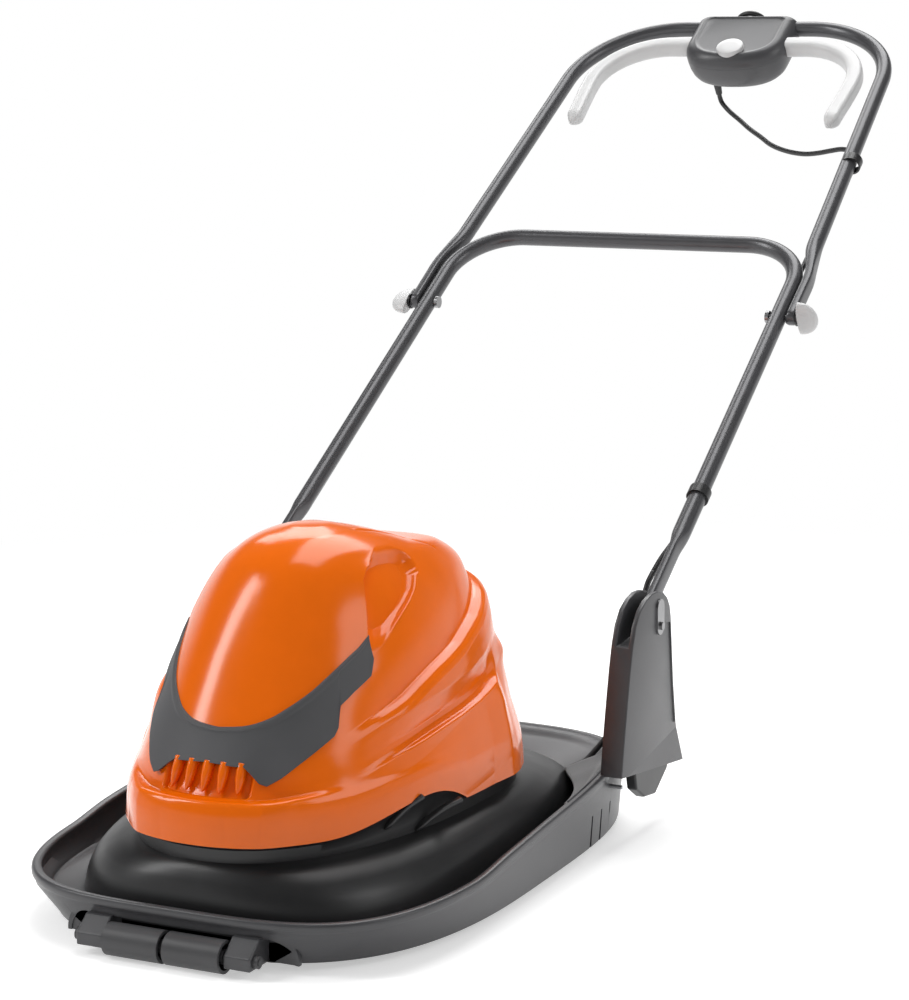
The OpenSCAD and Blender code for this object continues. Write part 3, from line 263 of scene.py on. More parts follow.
def wire(name, path, diameter):
    """A round cable along a path in metres."""
    aim = tangents(path)
    side = np.cross(aim, [1.0, 0.3, 0.2])
    side /= np.linalg.norm(side, axis=1)[:, None]
    return sweep(name, path, side, np.cross(side, aim), diameter / 2, diameter / 2, sides=16)


def turned(name, profile, centre, axis, sides=48):
    """A solid of revolution: profile holds (radius, height) pairs in mm along the axis."""
    axis = np.asarray(axis, float) / np.linalg.norm(axis)
    side = np.cross(axis, [0.0, 0.0, 1.0] if abs(axis[2]) < 0.9 else [1.0, 0.0, 0.0])
    side /= np.linalg.norm(side)
    c, s = section_turn(sides, 2.0)
    ring = np.outer(c, side) + np.outer(s, np.cross(axis, side))
    return crisp(capped(name, [centre + MM * (r * ring + h * axis) for r, h in profile]), 40)


# Materials
WHITE = (1.0, 1.0, 1.0, 1.0)


def preset(node, values):
    """Puts plain values on a node's inputs."""
    for label, value in values.items():
        node.inputs[label].default_value = value
    return node


def math_of(tree, operation, first, second):
    """A math node's output; each term is a number or the output of another node."""
    node = tree.nodes.new("ShaderNodeMath")
    node.operation = operation
    for socket, term in zip(node.inputs, (first, second)):
        if isinstance(term, float):
            socket.default_value = term
        else:
            tree.links.new(term, socket)
    return node.outputs[0]


def moulded_skin_group():
    """Mottled colour, uneven gloss and a fine grain, for moulded and painted pieces."""
    tree = bpy.data.node_groups.new("moulded_skin", "ShaderNodeTree")
    kinds = {"Color": "NodeSocketColor", "Normal": "NodeSocketVector"}
    for way, labels in (("INPUT", ("Color", "Mottle", "Roughness", "Grain scale", "Grain depth")),
                        ("OUTPUT", ("Color", "Roughness", "Normal"))):
        for label in labels:
            tree.interface.new_socket(label, in_out=way, socket_type=kinds.get(label, "NodeSocketFloat"))
    node, link = tree.nodes.new, tree.links.new
    given, out = node("NodeGroupInput"), node("NodeGroupOutput")
    place = node("ShaderNodeTexCoord")
    cloud = preset(node("ShaderNodeTexNoise"), {"Scale": 38.0, "Detail": 4.0})
    link(place.outputs["Object"], cloud.inputs["Vector"])
    level = preset(node("ShaderNodeMapRange"), {"From Min": 0.3, "From Max": 0.7})
    link(math_of(tree, "SUBTRACT", 1.0, given.outputs["Mottle"]), level.inputs["To Min"])
    link(math_of(tree, "ADD", 1.0, given.outputs["Mottle"]), level.inputs["To Max"])
    link(cloud.outputs["Fac"], level.inputs["Value"])
    shade = node("ShaderNodeHueSaturation")
    link(level.outputs["Result"], shade.inputs["Value"])
    link(given.outputs["Color"], shade.inputs["Color"])
    link(shade.outputs["Color"], out.inputs["Color"])
    gloss = math_of(tree, "MULTIPLY", given.outputs["Roughness"], level.outputs["Result"])
    link(gloss, out.inputs["Roughness"])
    grain = preset(node("ShaderNodeTexNoise"), {"Detail": 3.0})
    link(place.outputs["Object"], grain.inputs["Vector"])
    link(given.outputs["Grain scale"], grain.inputs["Scale"])
    bump = preset(node("ShaderNodeBump"), {"Distance": 0.0004})
    link(given.outputs["Grain depth"], bump.inputs["Strength"])
    link(grain.outputs["Fac"], bump.inputs["Height"])
    link(bump.outputs["Normal"], out.inputs["Normal"])
    return tree


MOULDED_SKIN = moulded_skin_group()


def finish_of(name, color, roughness, grain_scale, grain_depth, mottle=0.05, metallic=0.0, specular=0.5):
    """A procedural material: the shared skin group feeding one principled shader."""
    mat = bpy.data.materials.new(name)
    mat.use_nodes = True
    tree = mat.node_tree
    shader = preset(tree.nodes["Principled BSDF"], {"Metallic": metallic, "Specular IOR Level": specular})
    moulded = tree.nodes.new("ShaderNodeGroup")
    moulded.node_tree = MOULDED_SKIN
    preset(moulded, {"Color": (*color, 1.0), "Mottle": mottle, "Roughness": roughness,
                     "Grain scale": grain_scale, "Grain depth": grain_depth})
    for given, taken in (("Color", "Base Color"), ("Roughness", "Roughness"), ("Normal", "Normal")):
        tree.links.new(moulded.outputs[given], shader.inputs[taken])
    return mat


FINISH = {
    "orange_plastic": finish_of("orange_moulding", (0.88, 0.148, 0.001), 0.16, 500, 0.012, mottle=0.02,
                                specular=0.36),
    "visor_plastic": finish_of("visor_grey", (0.070, 0.070, 0.074), 0.60, 1400, 0.25),
    "black_plastic": finish_of("hood_black", (0.018, 0.018, 0.019), 0.38, 700, 0.03, mottle=0.06),
    "grey_plastic": finish_of("deck_grey", (0.060, 0.060, 0.064), 0.35, 1200, 0.22),
    "roller_plastic": finish_of("roller_grey", (0.060, 0.060, 0.063), 0.45, 1000, 0.3, mottle=0.08),
    "pale_plastic": finish_of("lever_pale", (0.62, 0.62, 0.62), 0.34, 700, 0.01, mottle=0.03),
    "tube_paint": finish_of("tube_grey", (0.085, 0.085, 0.090), 0.30, 2600, 0.008, metallic=0.35),
    "bright_steel": finish_of("zinc_steel", (0.52, 0.53, 0.55), 0.32, 1500, 0.2, mottle=0.08, metallic=1.0),
    "pivot_steel": finish_of("burnished_steel", (0.30, 0.30, 0.305), 0.34, 1500, 0.1, mottle=0.12,
                             metallic=1.0),
    "copper": finish_of("copper_parts", (0.60, 0.27, 0.12), 0.35, 1800, 0.3, mottle=0.12, metallic=1.0),
    "cable_jacket": finish_of("cable_black", (0.014, 0.014, 0.015), 0.45, 1500, 0.04, mottle=0.08),
}


def dress(obj, slot, body, *nodes):
    """Gives a piece its finish and body, and hides the solids that it stands for."""
    obj.data.materials.clear()
    obj.data.materials.append(FINISH[slot])
    if body:
        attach(obj, body)
    if nodes:
        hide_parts(*nodes)
    return obj


for part in frame["record"]["subparts"]:
    solid = frame["nodes"][part["node"]]
    solid.data.materials.clear()
    solid.data.materials.append(FINISH[part["material_slot"]])
for name in ("pivot_pins", "pivot_plates", "pivot_screws", "clamp_bolts"):
    frame["nodes"][name].data.materials[0] = FINISH["pivot_steel"]
for name in ("axle_caps", "roller_axle"):
    frame["nodes"][name].data.materials[0] = FINISH["roller_plastic"]

# Camera, light and stage
CAMERA_PLACE = (1157.86, -2191.02, 773.60)
CAMERA_DOWN, CAMERA_TURN = 9.644, 25.357
camera_data = bpy.data.cameras.new("camera")
camera_data.lens = 96.38
camera_data.sensor_width = 36.0
camera_data.sensor_fit = "AUTO"
camera_data.clip_end = 50.0
camera = bpy.data.objects.new("camera", camera_data)
camera.location = on_deck(CAMERA_PLACE).tolist()
camera.rotation_euler = (math.radians(90 - CAMERA_DOWN), 0.0, math.radians(CAMERA_TURN))
bpy.context.scene.collection.objects.link(camera)
bpy.context.scene.camera = camera
bpy.context.scene.view_settings.view_transform = "Standard"


def softbox(name, place, aim, size, power):
    light = bpy.data.lights.new(name, "AREA")
    light.shape = "RECTANGLE"
    light.size, light.size_y = size
    light.energy = power
    lamp = bpy.data.objects.new(name, light)
    lamp.location = place
    lamp.rotation_euler = (Vector(aim) - Vector(place)).to_track_quat("-Z", "Y").to_euler()
    bpy.context.scene.collection.objects.link(lamp)


softbox("key_left", (-3.9, -2.9, 3.9), (0.0, -0.3, 0.3), (1.05, 3.2), 130)
softbox("top_rear", (-0.2, 2.3, 5.0), (0.0, -0.3, 0.3), (2.7, 5.4), 200)
softbox("side_right", (4.4, 0.1, 2.9), (0.0, -0.3, 0.3), (2.2, 2.0), 45)
softbox("rear_left", (-3.2, 4.2, 4.4), (0.0, 0.0, 0.2), (3.2, 2.4), 90)


def background_rays(tree):
    """1 for the rays that show the background: the camera's, and those off glossy or through clear pieces."""
    rays = tree.nodes.new("ShaderNodeLightPath")
    direct = math_of(tree, "MAXIMUM", rays.outputs["Is Camera Ray"], rays.outputs["Is Glossy Ray"])
    return math_of(tree, "MAXIMUM", direct, rays.outputs["Is Transmission Ray"])


def fade_of(tree, value, ends):
    """A soft step between the ends of a value."""
    fade = preset(tree.nodes.new("ShaderNodeMapRange"), ends)
    fade.interpolation_type = "SMOOTHSTEP"
    tree.links.new(value, fade.inputs["Value"])
    return fade.outputs["Result"]


def show_mix(tree, share, first, second, output):
    """Shows two shaders at the tree's output, mixed by a share."""
    mix = tree.nodes.new("ShaderNodeMixShader")
    for socket, source in zip(mix.inputs, (share, first.outputs[0], second.outputs[0])):
        tree.links.new(source, socket)
    tree.links.new(mix.outputs[0], tree.nodes[output].inputs["Surface"])


def studio_world():
    """Plain light on the mower, and a white backdrop that darkens overhead in what is reflected."""
    world = bpy.data.worlds.new("studio")
    bpy.context.scene.world = world
    world.use_nodes = True
    sky = world.node_tree
    light = preset(sky.nodes["Background"], {"Color": WHITE, "Strength": 0.40})
    backdrop = preset(sky.nodes.new("ShaderNodeBackground"), {"Color": WHITE})
    place = sky.nodes.new("ShaderNodeTexCoord")
    height = sky.nodes.new("ShaderNodeSeparateXYZ")
    sky.links.new(place.outputs["Generated"], height.inputs[0])
    ends = {"From Min": 0.08, "From Max": 0.34, "To Min": 1.0, "To Max": 0.10}
    sky.links.new(fade_of(sky, height.outputs["Z"], ends), backdrop.inputs["Strength"])
    show_mix(sky, background_rays(sky), light, backdrop, "World Output")


def white_floor():
    """A floor that takes the mower's shadow and is plain white further out."""
    span, below = 14.0, 0.0006
    floor = skin("floor", [[(x, y, 0) for x in (-span, span)] for y in (-span, span)], around=False)
    floor.location.z = -below
    mat = bpy.data.materials.new("floor_white")
    mat.use_nodes = True
    tree = mat.node_tree
    seen = background_rays(tree)
    lit = preset(tree.nodes["Principled BSDF"], {"Base Color": (0.82, 0.82, 0.82, 1.0), "Roughness": 0.9,
                                                 "Specular IOR Level": 0.1, "Emission Color": WHITE})
    tree.links.new(math_of(tree, "MULTIPLY", seen, 0.46), lit.inputs["Emission Strength"])
    plain = preset(tree.nodes.new("ShaderNodeEmission"), {"Color": WHITE})
    place = tree.nodes.new("ShaderNodeTexCoord")
    reach = tree.nodes.new("ShaderNodeVectorMath")
    reach.operation = "LENGTH"
    tree.links.new(place.outputs["Object"], reach.inputs[0])
    far = fade_of(tree, reach.outputs["Value"], {"From Min": 0.75, "From Max": 1.5})
    show_mix(tree, math_of(tree, "MULTIPLY", far, seen), lit, plain, "Material Output")
    floor.data.materials.append(mat)


studio_world()
white_floor()

# Motor cover
COVER_LOW, COVER_HIGH = 95.0, 341.0
COVER_TALL = COVER_HIGH - COVER_LOW
COVER_HALF, COVER_FRONT, COVER_REAR = 158.0, 222.0, 240.0
COVER_WALL = 9.0
CROWN_AHEAD, MIDDLE_BACK = 58.0, 108.0
COVER_LEVELS = [0, 0.094, 0.134, 0.171, 0.252, 0.374, 0.508, 0.65, 0.772, 0.866, 0.895, 0.931, 0.971, 0.996]
COVER_SIDE = [1, 0.99, 0.98, 0.965, 0.93, 0.88, 0.81, 0.71, 0.605, 0.495, 0.45, 0.38, 0.255, 0.1]
COVER_NOSE = [1, 0.985, 0.965, 0.92, 0.865, 0.77, 0.675, 0.575, 0.48, 0.395, 0.36, 0.3, 0.205, 0.08]
COVER_TAIL = [1, 0.99, 0.985, 0.978, 0.96, 0.93, 0.89, 0.84, 0.79, 0.64, 0.43, 0.32, 0.19, 0.08]
COVER_SQUARE = 2.3
TAIL_SQUARE = [(0, 2), (0.25, 2), (0.5, 2.4), (0.75, 3.2), (0.87, 4), (1, 2.3)]
ARCH_MIDDLE, ARCH_AHEAD, ARCH_BEHIND, ARCH_TALL, ARCH_FADE = -105.0, 120.0, 60.0, 18.0, 60.0


def cover_base(turn, level, out=0.0):
    """The plain cover form: turn runs from 0 at the nose to 1 at the tail (negative on the left)."""
    front = (COVER_FRONT + out) * smooth_table(level, COVER_LEVELS, COVER_NOSE)
    rear = (COVER_REAR + out) * smooth_table(level, COVER_LEVELS, COVER_TAIL)
    half = (COVER_HALF + out) * smooth_table(level, COVER_LEVELS, COVER_SIDE)
    back = np.minimum(MIDDLE_BACK * (1 - level * level), rear * 0.6)
    angle = turn * math.pi
    square = np.where(np.cos(angle) > 0, COVER_SQUARE, np.interp(level, *zip(*TAIL_SQUARE)))
    across = signed_power(np.sin(angle), 2 / square)
    along = signed_power(-np.cos(angle), 2 / square)
    y = back - CROWN_AHEAD + np.where(along < 0, front + back, rear - back) * along
    return np.stack([half * across, y, COVER_LOW + COVER_TALL * level + 0 * y], -1)


def arch(y):
    """Lift of the cover's lower edge above the intake fins."""
    past = y - ARCH_MIDDLE
    rise = np.where(past < 0, ease(1 + past / ARCH_AHEAD), np.maximum(0.0, 1 - (past / ARCH_BEHIND) ** 2))
    return ARCH_TALL * rise


# Side lines of the cover, drawn as (y, z) from the front to the rear
DOME_CREASE = [(-126, 239), (-120, 257), (-116, 266), (-111, 276), (-105, 287), (-98, 299), (-87, 307),
               (-70, 315), (-47, 323)]
SCOOP_LIP = [(-124, 239), (-101, 250), (-85, 260), (-69, 268), (-51, 276), (-34, 284), (-22, 292),
             (-12, 299), (-10, 306), (-15, 313), (-28, 319), (-46, 323)]
SHOULDER_LINE = [(-200, 169), (-177, 178), (-151, 188), (-122, 197), (-104, 203), (-81, 212), (-56, 220),
                 (-32, 226), (-8, 232), (17, 240), (44, 248), (70, 257), (89, 263), (130, 274)]
PANEL_LINE = [(-199, 137), (-170, 142), (-136, 152), (-116, 156), (-89, 161), (-64, 165), (-32, 169),
              (2, 174), (30, 180), (47, 185), (70, 196)]
TOP_GROOVE = [(-45, 36), (-37, 39), (6, 49), (27, 56), (44, 77)]
REAR_CORNER = 43.0
CHIN_TOP, CHIN_CORNER = 130.0, 0.106

# Sections across those lines: places, then how far the cover stands out there
SCOOP_DEPTH = [0, 0.05, 0.12, 0.35, 0.65, 0.88, 0.94, 1.0], [0, 0.62, 0.85, 1.0, 0.86, 0.52, 0.36, 0]
SHELF_STEP = [0, 2, 5, 9, 14, 24, 40, 60], [-3.2, 0.4, 4.6, 7.0, 7.6, 6.0, 2.4, 0]
PANEL_STEP = ([-70, -45, -20, 0, 1.2, 3, 7, 12, 20, 30],
              [0, 2.2, 3.8, 4.4, 3.0, -0.4, -4.2, -4.6, -2.6, 0])
CHIN_STEP = [-36, -1.2, 0, 0.8, 4.5, 9, 30], [0, 3.8, 3.6, 2.8, -3.4, -3.6, 0]


def height_on(line, y):
    """Height of a side line at each y."""
    return np.interp(y, *zip(*line))


def place_on(line, z):
    """The y of a climbing side line at each height."""
    ys, zs = zip(*line)
    return np.interp(z, zs, ys)


def scoop(x, y, z):
    """The hollow between the dome's sharp rear edge and the lip behind it."""
    crease, lip = place_on(DOME_CREASE, z), place_on(SCOOP_LIP, z)
    gap = np.maximum(lip - crease, 2.0)
    share = (y - crease) / gap
    deep = np.minimum(13.0, 0.24 * gap) * np.interp(share, *SCOOP_DEPTH) * (share > 0) * (share < 1)
    proud = 2.4 * np.exp(np.minimum(y - crease, 0) / 14.0) * (share <= 0)
    reach = ease((z - 238) / 26) * ease((322 - z) / 16) * ease((x - 35) / 20)
    return reach * (proud - deep)


def shoulder(x, y, z):
    """The crisp inner corner below the hump, with the rounded shelf that catches the light."""
    below = height_on(SHOULDER_LINE, y) - z
    lean = -3.2 * np.clip(1 + below / 34.0, 0, 1) ** 2 * (below <= 0)
    shelf = np.interp(below, *SHELF_STEP) * (below > 0)
    return (lean + shelf) * ease((y + 185) / 80) * ease((x - 30) / 30)


def side_panel(x, y, z):
    """The flat lower panel: a soft flute above it, a bright ledge and a sharp upper edge."""
    step = np.interp(z - height_on(PANEL_LINE, y), *PANEL_STEP)
    return step * ease((y + 185) / 90) * ease((58 - y) / 20) * ease((x - 30) / 30)


def cover_relief(p, turn):
    """How far the moulded details stand out of the plain form, in mm."""
    x, y, z = np.abs(p[..., 0]), p[..., 1], p[..., 2]
    round_nose = np.abs(turn)
    out = scoop(x, y, z) + shoulder(x, y, z) + side_panel(x, y, z)
    corner = np.maximum(0, 1 - np.abs(y - REAR_CORNER) / 34.0)
    out += 3.4 * corner * ease((192 - z) / 30) * (x > 60)
    out += 4.0 * np.exp(-((y - 96) / 15) ** 2 - ((z - 203) / 10) ** 2) * (x > 60)
    groove = x - np.interp(y, *zip(*TOP_GROOVE))
    out -= 1.8 * np.exp(-(groove / 1.7) ** 2) * (z > 296) * ease((y + 48) / 10) * ease((48 - y) / 10)
    chin = np.interp(z - CHIN_TOP - 40 * np.maximum(round_nose - 0.11, 0), *CHIN_STEP)
    edge = np.maximum(0, 1 - np.abs(round_nose - CHIN_CORNER) / 0.055) * ease((CHIN_TOP + 2 - z) / 4.0)
    recess = 6.5 * ease((45 - x) / 4.0) * ease((z - 135.5) / 3.0) * ease((176 - z) / 8.0)
    return out + (chin + 3.2 * edge - recess) * (1 - ease((round_nose - 0.12) / 0.13))


def push_out(grid, relief):
    """Moves a grid of points along its own normals."""
    du = np.gradient(grid, axis=0)
    dv = np.roll(grid, -1, axis=1) - np.roll(grid, 1, axis=1)
    normal = np.cross(dv, du)
    normal /= np.maximum(np.linalg.norm(normal, axis=-1, keepdims=True), 1e-9)
    flip = np.sign(np.sum(normal * (grid - [0.0, 0.0, 150.0]), axis=-1, keepdims=True))
    return grid + normal * np.where(flip == 0, 1, flip) * relief[..., None]


def motor_cover():
    """The cover's shell, with more columns and rows where its details lie."""
    right = np.concatenate([np.linspace(0, 0.14, 60, endpoint=False),
                            np.linspace(0.14, 0.62, 300, endpoint=False),
                            np.linspace(0.62, 1, 110, endpoint=False)])
    turn = np.concatenate([right, [1.0], -right[:0:-1]])
    levels = np.concatenate([np.linspace(0, 0.2, 60), np.linspace(0.2, 0.93, 240)[1:],
                             np.linspace(0.93, 0.996, 30)[1:]])
    grid = cover_base(turn[None, :], levels[:, None])
    outer = push_out(grid, cover_relief(grid, turn[None, :]))
    inside = cover_base(turn[None, :], levels[::6, None], -COVER_WALL)[::-1]
    lift = arch(outer[0, :, 1])
    for wall in (outer, inside):
        wall[:, :, 2] += lift * np.clip(1 - (wall[:, :, 2] - COVER_LOW) / ARCH_FADE, 0, 1)
    inside[:, :, 2] -= COVER_WALL * (inside[:, :, 2] - COVER_LOW) / COVER_TALL
    rim = outer[0] + 0.35 * (inside[-1] - outer[0])
    return crisp(capped("motor_cover_shell", [on_deck(r) for r in (*inside, rim, *outer)]), 75)


def nose_rib(across):
    """One of the five ribs below the visor, each running to a point."""
    steps = 22
    turn = np.sign(across) * np.arcsin((abs(across) / 150.0) ** (COVER_SQUARE / 2)) / math.pi
    line = cover_base(np.full(steps, turn), np.linspace(0.262, 0.168, steps), -4.5)
    thin = np.interp(np.linspace(0, 1, steps), [0, 0.5, 0.85, 1], [1.0, 0.85, 0.5, 0.12])
    lift = np.cross(tangents(line), ACROSS)
    return sweep("nose_rib", on_deck(line), ACROSS, lift, 5.0 * thin, 6.0 * thin, sides=24)


cover_parts = [motor_cover()] + [nose_rib(across) for across in (-33.0, -16.5, 0.0, 16.5, 33.0)]
dress(joined("motor_cover_piece", cover_parts), "orange_plastic", "deck", "motor_cover")

# Visor: edges as (share of its reach, level on the cover)
VISOR_REACH, VISOR_PROUD = 0.289, 2.8
VISOR_LOW = [(0, 0.267), (0.16, 0.26), (0.205, 0.261), (0.25, 0.242), (0.315, 0.209), (0.36, 0.2),
             (0.44, 0.225), (0.52, 0.26), (0.63, 0.306), (0.715, 0.342), (0.736, 0.368), (0.742, 0.437),
             (0.84, 0.478), (0.96, 0.52), (1, 0.575)]
VISOR_HIGH = [(0, 0.376), (0.15, 0.386), (0.29, 0.41), (0.41, 0.446), (0.55, 0.493), (0.66, 0.536),
              (0.82, 0.593), (0.9, 0.617), (1, 0.656)]


def visor():
    """A slightly hollow band with a raised upper lip, closed by three rows on the cover."""
    side = np.linspace(-1, 1, 401)
    low = np.interp(np.abs(side), *zip(*VISOR_LOW))
    high = smooth_table(np.abs(side), *zip(*VISOR_HIGH))
    share = np.concatenate([[0.0, 0.0], np.linspace(0.012, 0.86, 20), [0.885, 0.91, 0.965, 0.99, 1.0, 1.0]])
    proud = np.concatenate([[0.2, 1.9], np.full(20, VISOR_PROUD), [3.0, 3.9, 3.9, 3.4, 2.4, 0.2]])
    proud = proud - 1.2 * np.sin(math.pi * share) * (proud == VISOR_PROUD)
    rows = [cover_base(side * VISOR_REACH, low + (high - low) * s, out)
            for s, out in zip((*share, 0.9, 0.5, 0.1), (*proud, 0.25, 0.25, 0.25))]
    return crisp(outward(skin("visor_band", [on_deck(r) for r in rows], around=False, loop=True)), 40)


dress(visor(), "visor_plastic", "deck", "visor_trim")

# Skirt: outer wall with its rolled bead, trough, roller pocket and lugs
DECK_HALF, DECK_FRONT, DECK_REAR, DECK_SQUARE = 213.0, 311.0, 335.0, 3.7
DECK_COLUMNS = 420
SKIRT_LOW, SKIRT_DRAFT = 7.0, 4.5
RIM_FRONT, RIM_REAR = 47.0, 66.0
RIM_CLIMB = [(-311, 0), (-150, 0), (-80, 6), (-20, 9), (45, 11.5), (86, 13), (130, 15), (180, 17), (230, 17),
             (290, 0), (335, 0)]
RIM_BEAD = [(0.4, -13.0), (-0.2, -9.4), (-1.2, -8.2), (-2.0, -6.6), (-2.2, -4.0), (-1.9, -1.8), (-1.0, -0.5),
            (0.6, 0.0), (3.0, -0.1), (5.0, -0.8), (6.0, -2.2), (6.0, -3.6), (5.2, -6.0), (4.6, -9.0),
            (4.6, -14.0)]
TROUGH_TOP, TROUGH_LOW = 24.0, 21.0
TROUGH_IN, TROUGH_SQUARE = (45.0, 27.0, 43.0), 2.75
FLANGE_INSET, FLANGE_START, FLANGE_THICK = 3.5, 60.0, 2.4
POCKET_HALF, POCKET_BACK, POCKET_ROOF, POCKET_WALL, POCKET_CORNER = 112.0, 296.0, 31.0, 3.5, 24.0
MOUTH_FRONT = -DECK_FRONT - 6
LUG_IN, LUG_OUT, LUG_FRONT, LUG_LOW = 60.0, 86.0, 329.0, 8.0
LUG_SIDE = [(-LUG_FRONT, LUG_LOW), (-LUG_FRONT, 19.0), (-DECK_FRONT - 2, POCKET_ROOF + 1),
            (-POCKET_BACK + 1, POCKET_ROOF + 1), (-POCKET_BACK + 1, LUG_LOW)]
NOTCH_PLACES, NOTCH_IN, NOTCH_OUT = (120.0, 147.0, 176.0), 203.6, 222.0


def oval(half, front, rear, square, columns, middle=0.0):
    turn = np.linspace(0, 2 * math.pi, columns, endpoint=False)
    across = signed_power(np.sin(turn), 2 / square)
    along = signed_power(-np.cos(turn), 2 / square)
    return np.stack([half * across, middle + np.where(along < 0, front, rear) * along], -1)


def raised(plan, z):
    """A ring of plan points at one height, or each at its own."""
    return np.column_stack([plan, np.full(len(plan), z)])


def rim_at(y):
    """Height of the rim, which climbs towards the brackets."""
    plain = RIM_FRONT + (RIM_REAR - RIM_FRONT) * (y + DECK_FRONT) / (DECK_FRONT + DECK_REAR)
    return plain + smooth_table(y, *zip(*RIM_CLIMB))


def deck_ring(inset, rounder=0.0):
    """The deck's outline, drawn in by an inset; the front corners may be rounder than the rear ones."""
    turn = np.linspace(0, 2 * math.pi, DECK_COLUMNS, endpoint=False)
    square = np.where(np.cos(turn) > 0, DECK_SQUARE - rounder, DECK_SQUARE)
    return oval(DECK_HALF - inset, DECK_FRONT - inset, DECK_REAR - inset, square, DECK_COLUMNS)


def skirt():
    """The skirt's closed section carried round the deck outline."""
    low, draft = SKIRT_LOW, SKIRT_DRAFT
    outer_foot = (draft + 1.6, low), (draft + 0.6, low + 0.6), (draft, low + 2.4)
    trough_edge = (6.6, 29.0), (7.8, 25.6), (10.5, 24.0)
    trough_hole = (-1.2, TROUGH_TOP), (0.0, TROUGH_TOP - 1.0), (0.0, TROUGH_LOW + 0.6), (-1.0, TROUGH_LOW)
    inner_foot = ((draft + 7.5, TROUGH_LOW), (draft + 4.0, TROUGH_LOW - 2.0), (draft + 3.8, low + 0.6),
                  (draft + 3.0, low))
    rows = [raised(deck_ring(inset, 0.8), z) for inset, z in outer_foot]
    for inset, drop in RIM_BEAD:
        plan = deck_ring(inset)
        rows.append(raised(plan, drop + rim_at(plan[:, 1])))
    rows += [raised(deck_ring(inset, 0.4), z) for inset, z in trough_edge]
    half, front, rear = np.array([DECK_HALF, DECK_FRONT, DECK_REAR]) - TROUGH_IN
    for grow, z in trough_hole:
        rows.append(raised(oval(half - grow, front - grow, rear - grow, TROUGH_SQUARE, DECK_COLUMNS), z))
    rows += [raised(deck_ring(inset, 0.8), z) for inset, z in inner_foot]
    return outward(skin("skirt_wall", [on_deck(r) for r in rows], loop=True))


def rear_flange():
    """The broad shelf that falls from the rear rim to the hood."""
    outer = deck_ring(FLANGE_INSET)
    inward = deck_ring(2.0) - deck_ring(1.0)
    inward /= np.linalg.norm(inward, axis=1)[:, None]
    reach = 5.0 + 54.0 * ease((outer[:, 1] - FLANGE_START) / 200.0)
    keep = np.where(outer[:, 1] > FLANGE_START)[0]
    keep = keep[np.argsort(np.arctan2(outer[keep, 0], outer[keep, 1]))]
    rows = []
    for share in np.linspace(0, 1, 16):
        crest = 2.2 * math.sin(math.pi * min(share * 3, 1))
        z = rim_at(outer[:, 1]) - 1.0 + crest - 0.30 * reach * share ** 1.2
        rows.append(raised(outer + inward * (reach * share)[:, None], z)[keep])
    under = [row - [0.0, 0.0, FLANGE_THICK] for row in rows[::-1]]
    return outward(skin("rear_flange", [on_deck(r) for r in rows + under], around=False, loop=True))


pocket_corner = (POCKET_HALF - POCKET_CORNER, POCKET_ROOF - POCKET_CORNER)
mouth_outline = ([(-POCKET_HALF, -5.0), (POCKET_HALF, -5.0)]
                 + arc(pocket_corner, POCKET_CORNER, 0, 90, 12)
                 + arc((-pocket_corner[0], pocket_corner[1]), POCKET_CORNER, 90, 180, 12))
notches = []
for side in (-1, 1):
    for back in NOTCH_PLACES:
        notch_side = [(back, 3.0), (back + 5.0, 3.0), (back + 3.0, 40.0), (back, 40.0)]
        notches.append(side_prism("skirt_notch", notch_side, side, NOTCH_IN, NOTCH_OUT))
mouth = prism("roller_mouth", mouth_outline, MOUTH_FRONT, -POCKET_BACK, 1)
skirt_wall = crisp(carve(skirt(), [mouth] + notches), 40)
pocket_outline = [(x * (1 + POCKET_WALL / POCKET_HALF), z + (POCKET_WALL if z > 0 else 0))
                  for x, z in mouth_outline]
pocket = prism("roller_pocket", pocket_outline, -POCKET_BACK - 1.0, -POCKET_BACK + POCKET_WALL, 1)
hollow = prism("pocket_hollow", mouth_outline, MOUTH_FRONT, -POCKET_BACK, 1)
ground_outline = [(-DECK_HALF, -20.0), (DECK_HALF, -20.0), (DECK_HALF, SKIRT_LOW + 1),
                  (-DECK_HALF, SKIRT_LOW + 1)]
pocket = crisp(carve(pocket, [hollow, prism("pocket_below", ground_outline, MOUTH_FRONT, 0, 1)]), 40)
lugs = [soften(side_prism("roller_lug", LUG_SIDE, side, LUG_IN, LUG_OUT), 1.2) for side in (-1, 1)]
dress(joined("skirt_shell", [skirt_wall, pocket, rear_flange()] + lugs), "grey_plastic", "deck", "skirt")

# Hood: the black dome between the trough and the cover
HOOD_LOW, HOOD_TOP, NECK_LOW, NECK_INSET, HOOD_WALL = 24.3, 102.0, 78.0, 11.0, 3.0
HOOD_BASE = (182.0, 288.0, 308.0)
HOOD_SQUARE, HOOD_COLUMNS = 2.9, 320
HOOD_LEVELS = [0, 0.18, 0.46, 0.7, 0.86, 0.95, 1]
HOOD_SPREAD = [1, 0.97, 0.86, 0.66, 0.42, 0.2, 0]
PLATE_R, MOTOR_HOLE_R = 86.0, 62.0
HOOD_NECK = np.array([COVER_HALF, COVER_FRONT + CROWN_AHEAD, COVER_REAR - CROWN_AHEAD]) - NECK_INSET


def hood_ring(level, shrink):
    """One level of the hood, from the trough (0) to the neck (1)."""
    spread = smooth_table(level, HOOD_LEVELS, HOOD_SPREAD)
    half, front, rear = HOOD_NECK + (HOOD_BASE - HOOD_NECK) * spread - shrink
    back = (MIDDLE_BACK - CROWN_AHEAD) * (1 - spread)
    square = COVER_SQUARE + (HOOD_SQUARE - COVER_SQUARE) * spread
    z = HOOD_LOW + (NECK_LOW - HOOD_LOW) * level - (shrink if level > 0 else 0)
    return raised(oval(half, front + back, rear - back, square, HOOD_COLUMNS, back), z)


